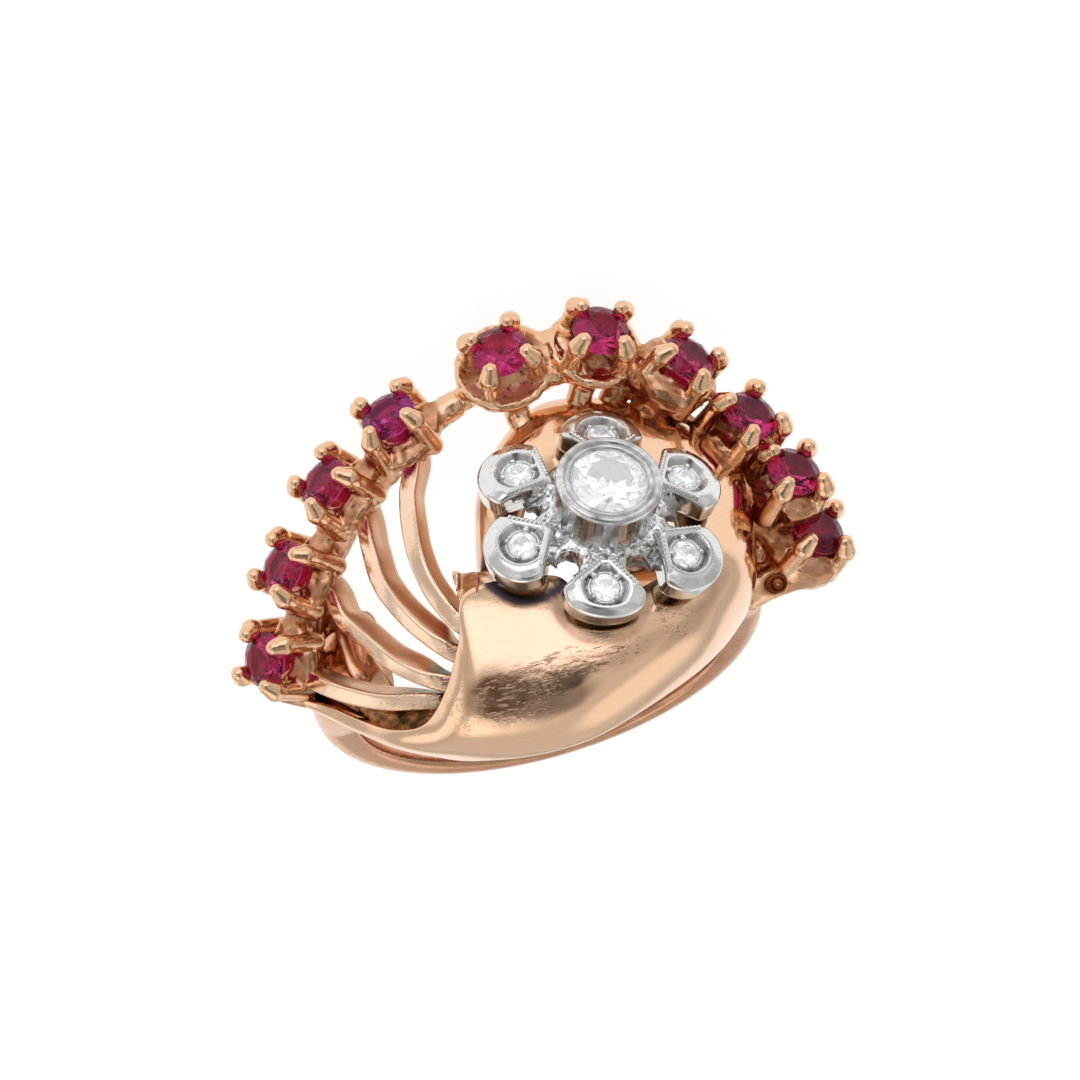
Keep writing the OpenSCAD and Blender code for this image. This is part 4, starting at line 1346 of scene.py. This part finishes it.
@dataclass
class Stone:
    """Round cut stone: a table, stars, kites and upper halves, a thin girdle, and a pavilion below."""

    name: str
    diameter: float
    crown: float
    pavilion: float
    table: float = 0.57
    girdle: float = 0.03
    lower: float = 0.27
    star_out: float = 1.02
    twist: float = 0.0

    def build(self, placed: Field, slot: Slot) -> Piece:
        """Works out the cut's corners, 8-fold, from radii and heights in shares of the diameter.

        Args:
            placed: Puts the stone's own points, with its girdle in the middle, into the worn frame.
            slot: The material slot; not used.

        Returns:
            The stone, which stands for the node of its name.
        """
        turn = radians(self.twist)
        eight, thirty_two = np.arange(8) * pi / 4 + turn, np.arange(32) * pi / 16 + turn
        half = 0.5

        def ring(angles: Array, r: float, z: float) -> Array:
            """Corners round the stone's axis, at one radius and height."""
            return np.stack([r * np.cos(angles), r * np.sin(angles), np.full_like(angles, z)], -1)

        table_r, low_r = self.table / 2, half * self.lower
        star_r = (table_r + half) / 2 * self.star_out
        top, bottom = self.crown, -self.pavilion
        share = cos(pi / 8)
        star_z = top - (star_r * share - table_r) * (top - self.girdle / 2) / (half - table_r)
        low_z = bottom + low_r * share * (-self.girdle / 2 - bottom) / half
        corners = np.vstack([
            ring(eight, table_r, top), ring(eight + pi / 8, star_r, star_z),
            ring(thirty_two, half, self.girdle / 2), ring(thirty_two, half, -self.girdle / 2),
            ring(eight + pi / 8, low_r, low_z), [[0, 0, bottom]],
        ])
        k, nxt, prv = np.arange(8), (np.arange(8) + 1) % 8, (np.arange(8) - 1) % 8
        t, st, up, dn, lo, culet = 0, 8, 16, 48, 80, np.full(8, 88)
        g = 4 * k
        m = np.arange(32)
        faces = [
            k[None, :] + t,
            np.stack([t + k, st + k, t + nxt], -1),
            np.stack([t + k, st + prv, up + g, st + k], -1),
            np.stack([st + k, up + g, up + g + 1, up + g + 2], -1),
            np.stack([st + k, up + g + 2, up + g + 3, up + (g + 4) % 32], -1),
            np.stack([up + m, dn + m, dn + (m + 1) % 32, up + (m + 1) % 32], -1),
            np.stack([culet, lo + k, dn + g, lo + prv], -1),
            np.stack([lo + k, dn + g + 2, dn + g + 1, dn + g], -1),
            np.stack([lo + k, dn + (g + 4) % 32, dn + g + 3, dn + g + 2], -1),
        ]
        points = placed(corners * self.diameter)
        piece = make_piece(f"{self.name}_cut", points, faces, smooth=False)
        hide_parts(self.name)
        return piece


@dataclass
class Stones:
    """All the stones of the ring."""

    violet: int = 4

    def build(self) -> dict[str, list[Piece]]:
        """Sets the middle diamond, the petals' diamonds and the rubies.

        Returns:
            The stones by the name of their finish.
        """
        centre = Stone("centre_diamond", DIAMOND_D, 0.15, 0.42)
        lift = np.array([0, 0, CENTRE_GIRDLE])
        found: dict[str, list[Piece]] = {
            "diamond": [centre.build(lambda p: FLOWER.placed(p + lift), Slot.DIAMOND)],
            "ruby": [],
            "violet": [],
        }
        for k in range(6):
            small = Stone(f"petal_diamond_{k + 1}", PETAL_DIAMOND_D, 0.15, 0.4, table=0.6, twist=11 * k)
            found["diamond"].append(small.build(lambda p, k=k: petal_placed(p, k), Slot.DIAMOND))
        for k, seat in enumerate(RUBY_SEATS):
            stone = Stone(f"ruby_{k + 1}", RUBY_D, 0.16, 0.4, table=0.58, twist=22.5 + 7 * k)
            found["violet" if k + 1 == self.violet else "ruby"].append(stone.build(seat.placed, Slot.RUBY))
        return found


# A soft patch of more or less light: its direction, the cosines where it starts and is full, its strength.
Lobe = tuple[Spot, float, float, float]


@dataclass
class Studio:
    """Camera at the photograph's angle, a pale floor, and soft light from all round.

    Camera places are in millimetres of the worn frame, and the floor's half-width and fading in metres.
    """

    lens: float = 321.3
    distance: float = 430.0
    across: float = 1.249
    up: float = 4.461
    tilt: float = 25.0
    roll: float = 13.0
    floor_z: float = -4.84
    floor_half: float = 0.6
    floor_colour: str = "#909090"
    fading: tuple[float, float] = (0.045, 0.085)
    glow: tuple[float, float] = (0.86, 0.4)
    warm: str = "#FFFDFB"
    cool: str = "#F3F5FF"
    softbox: Lobe = ((0.0, 1.0, 0.14), 0.78, 0.97, 0.95)
    lobes: tuple[Lobe, ...] = (
        ((-0.04, 0.68, 0.73), 0.93, 0.99, -0.45),
        ((-0.10, 0.60, 0.79), 0.97, 0.997, -0.12),
        ((-0.15, 0.14, 0.98), 0.87, 0.985, -0.42),
        ((-0.50, -0.32, 0.80), 0.88, 0.97, 0.6),
        ((0.62, 0.42, 0.66), 0.92, 0.98, -0.14),
        ((0.95, -0.1, 0.3), 0.90, 0.98, -0.2),
        ((0.5, -0.7, 0.5), 0.85, 0.97, 0.35),
        ((-1.0, 0.0, 0.0), 0.50, 0.95, -0.15),
        ((-0.96, -0.05, 0.05), 0.82, 0.96, 0.65),
    )
    even_light: float = 0.70
    least_light: float = 0.1

    def camera(self) -> None:
        """Looks down the worn frame's tilted axis, rolled, from a long way off."""
        right = np.array([1.0, 0, 0])
        up = np.array([0, cos(radians(self.tilt)), sin(radians(self.tilt))])
        back = np.cross(right, up)
        place = self.across * right + self.up * up + self.distance * back
        a = radians(self.roll)
        axes = np.stack([cos(a) * right - sin(a) * up, sin(a) * right + cos(a) * up, back], -1)
        matrix = np.eye(4)
        matrix[:3, :3] = LAY_DOWN @ axes
        matrix[:3, 3] = LAY_DOWN @ place * MM
        data = bpy.data.cameras.new("camera")
        data.lens, data.sensor_width, data.clip_start, data.clip_end = self.lens, 36.0, 0.01, 10.0
        camera = bpy.data.objects.new("camera", data)
        camera.matrix_world = matrix.T.tolist()
        bpy.context.scene.collection.objects.link(camera)
        bpy.context.scene.camera = camera

    def floor(self) -> None:
        """A wide pale floor under the lowest point of the ring, that fades to grey far off."""
        low, high, z = -self.floor_half, self.floor_half, self.floor_z * MM
        mesh = bpy.data.meshes.new("floor")
        mesh.from_pydata([(low, low, z), (high, low, z), (high, high, z), (low, high, z)], [], [(0, 1, 2, 3)])
        floor = bpy.data.objects.new("floor", mesh)
        bpy.context.scene.collection.objects.link(floor)
        material = bpy.data.materials.new("matt_white_card")
        tree = emptied(material)
        place = add(tree, "ShaderNodeTexCoord").outputs["Object"]
        bump = add(tree, "ShaderNodeBump", {"Height": noise(tree, place, 0.4, 2.0), "Distance": 0.002 * MM})
        away = add(tree, "ShaderNodeVectorMath", {0: place}, operation="LENGTH").outputs["Value"]
        glow = spread(tree, away, self.fading, self.glow, "SMOOTHSTEP")
        shader = add(
            tree, "ShaderNodeBsdfPrincipled",
            {"Base Color": linear(self.floor_colour), "Roughness": 0.7, "Specular IOR Level": 0.0,
             "Normal": bump.outputs[0], "Emission Color": linear("#FFFFFF"), "Emission Strength": glow},
        )
        add(tree, "ShaderNodeOutputMaterial", {"Surface": shader.outputs[0]})
        floor.data.materials.append(material)

    def light(self) -> None:
        """Light by direction: even light with a softbox and other patches, brighter or darker."""
        world = bpy.data.worlds.new("soft_studio")
        bpy.context.scene.world = world
        tree = emptied(world)
        way = add(tree, "ShaderNodeTexCoord").outputs["Generated"]

        def patch(lobe: Lobe) -> Socket:
            """What one patch adds to the light, by direction."""
            direction, start, full, strength = lobe
            inputs = {0: way, 1: tuple(unit(np.array(direction)))}
            dot = add(tree, "ShaderNodeVectorMath", inputs, operation="DOT_PRODUCT").outputs["Value"]
            return spread(tree, dot, (start, full), (0.0, strength), "SMOOTHSTEP")

        softbox = patch(self.softbox)
        total = computed(tree, "ADD", self.even_light, softbox)
        for lobe in self.lobes:
            total = computed(tree, "ADD", total, patch(lobe))
        total = computed(tree, "MAXIMUM", total, self.least_light)
        tint = mixed(tree, softbox, linear(self.warm), linear(self.cool))
        shade = add(tree, "ShaderNodeBackground", {"Color": tint, "Strength": total})
        add(tree, "ShaderNodeOutputWorld", {"Surface": shade.outputs[0]})

    def build(self) -> None:
        """Sets up the camera, the floor, the light and a plain view of linear colours."""
        self.camera()
        self.floor()
        self.light()
        settings = bpy.context.scene.view_settings
        settings.view_transform = "Standard"
        settings.look = "None"


def dress(pieces: Sequence[Piece], finish: Metal | Gem) -> None:
    """Gives some pieces one material."""
    material = finish.material()
    for piece in pieces:
        piece.data.materials.append(material)


def main() -> None:
    """Builds the ring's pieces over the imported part, dresses them and sets up the studio."""
    logging.basicConfig(level=logging.INFO, format="%(name)s: %(message)s")
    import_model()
    dress([Hoop().build()], SHADED_GOLD)
    dress([Scroll().build()], POLISHED_GOLD)
    wires = Wires()
    dress(wires.build(), FILED_GOLD)
    dress([wires.solder(), *Castings().build()], CAST_GOLD)
    dress(Flower().build(), WHITE_METAL)
    stones = Stones().build()
    dress(stones["diamond"], DIAMOND)
    dress(stones["ruby"], RUBY)
    dress(stones["violet"], RUBY_PURPLE)
    Studio().build()


if __name__ == "__main__":
    main()
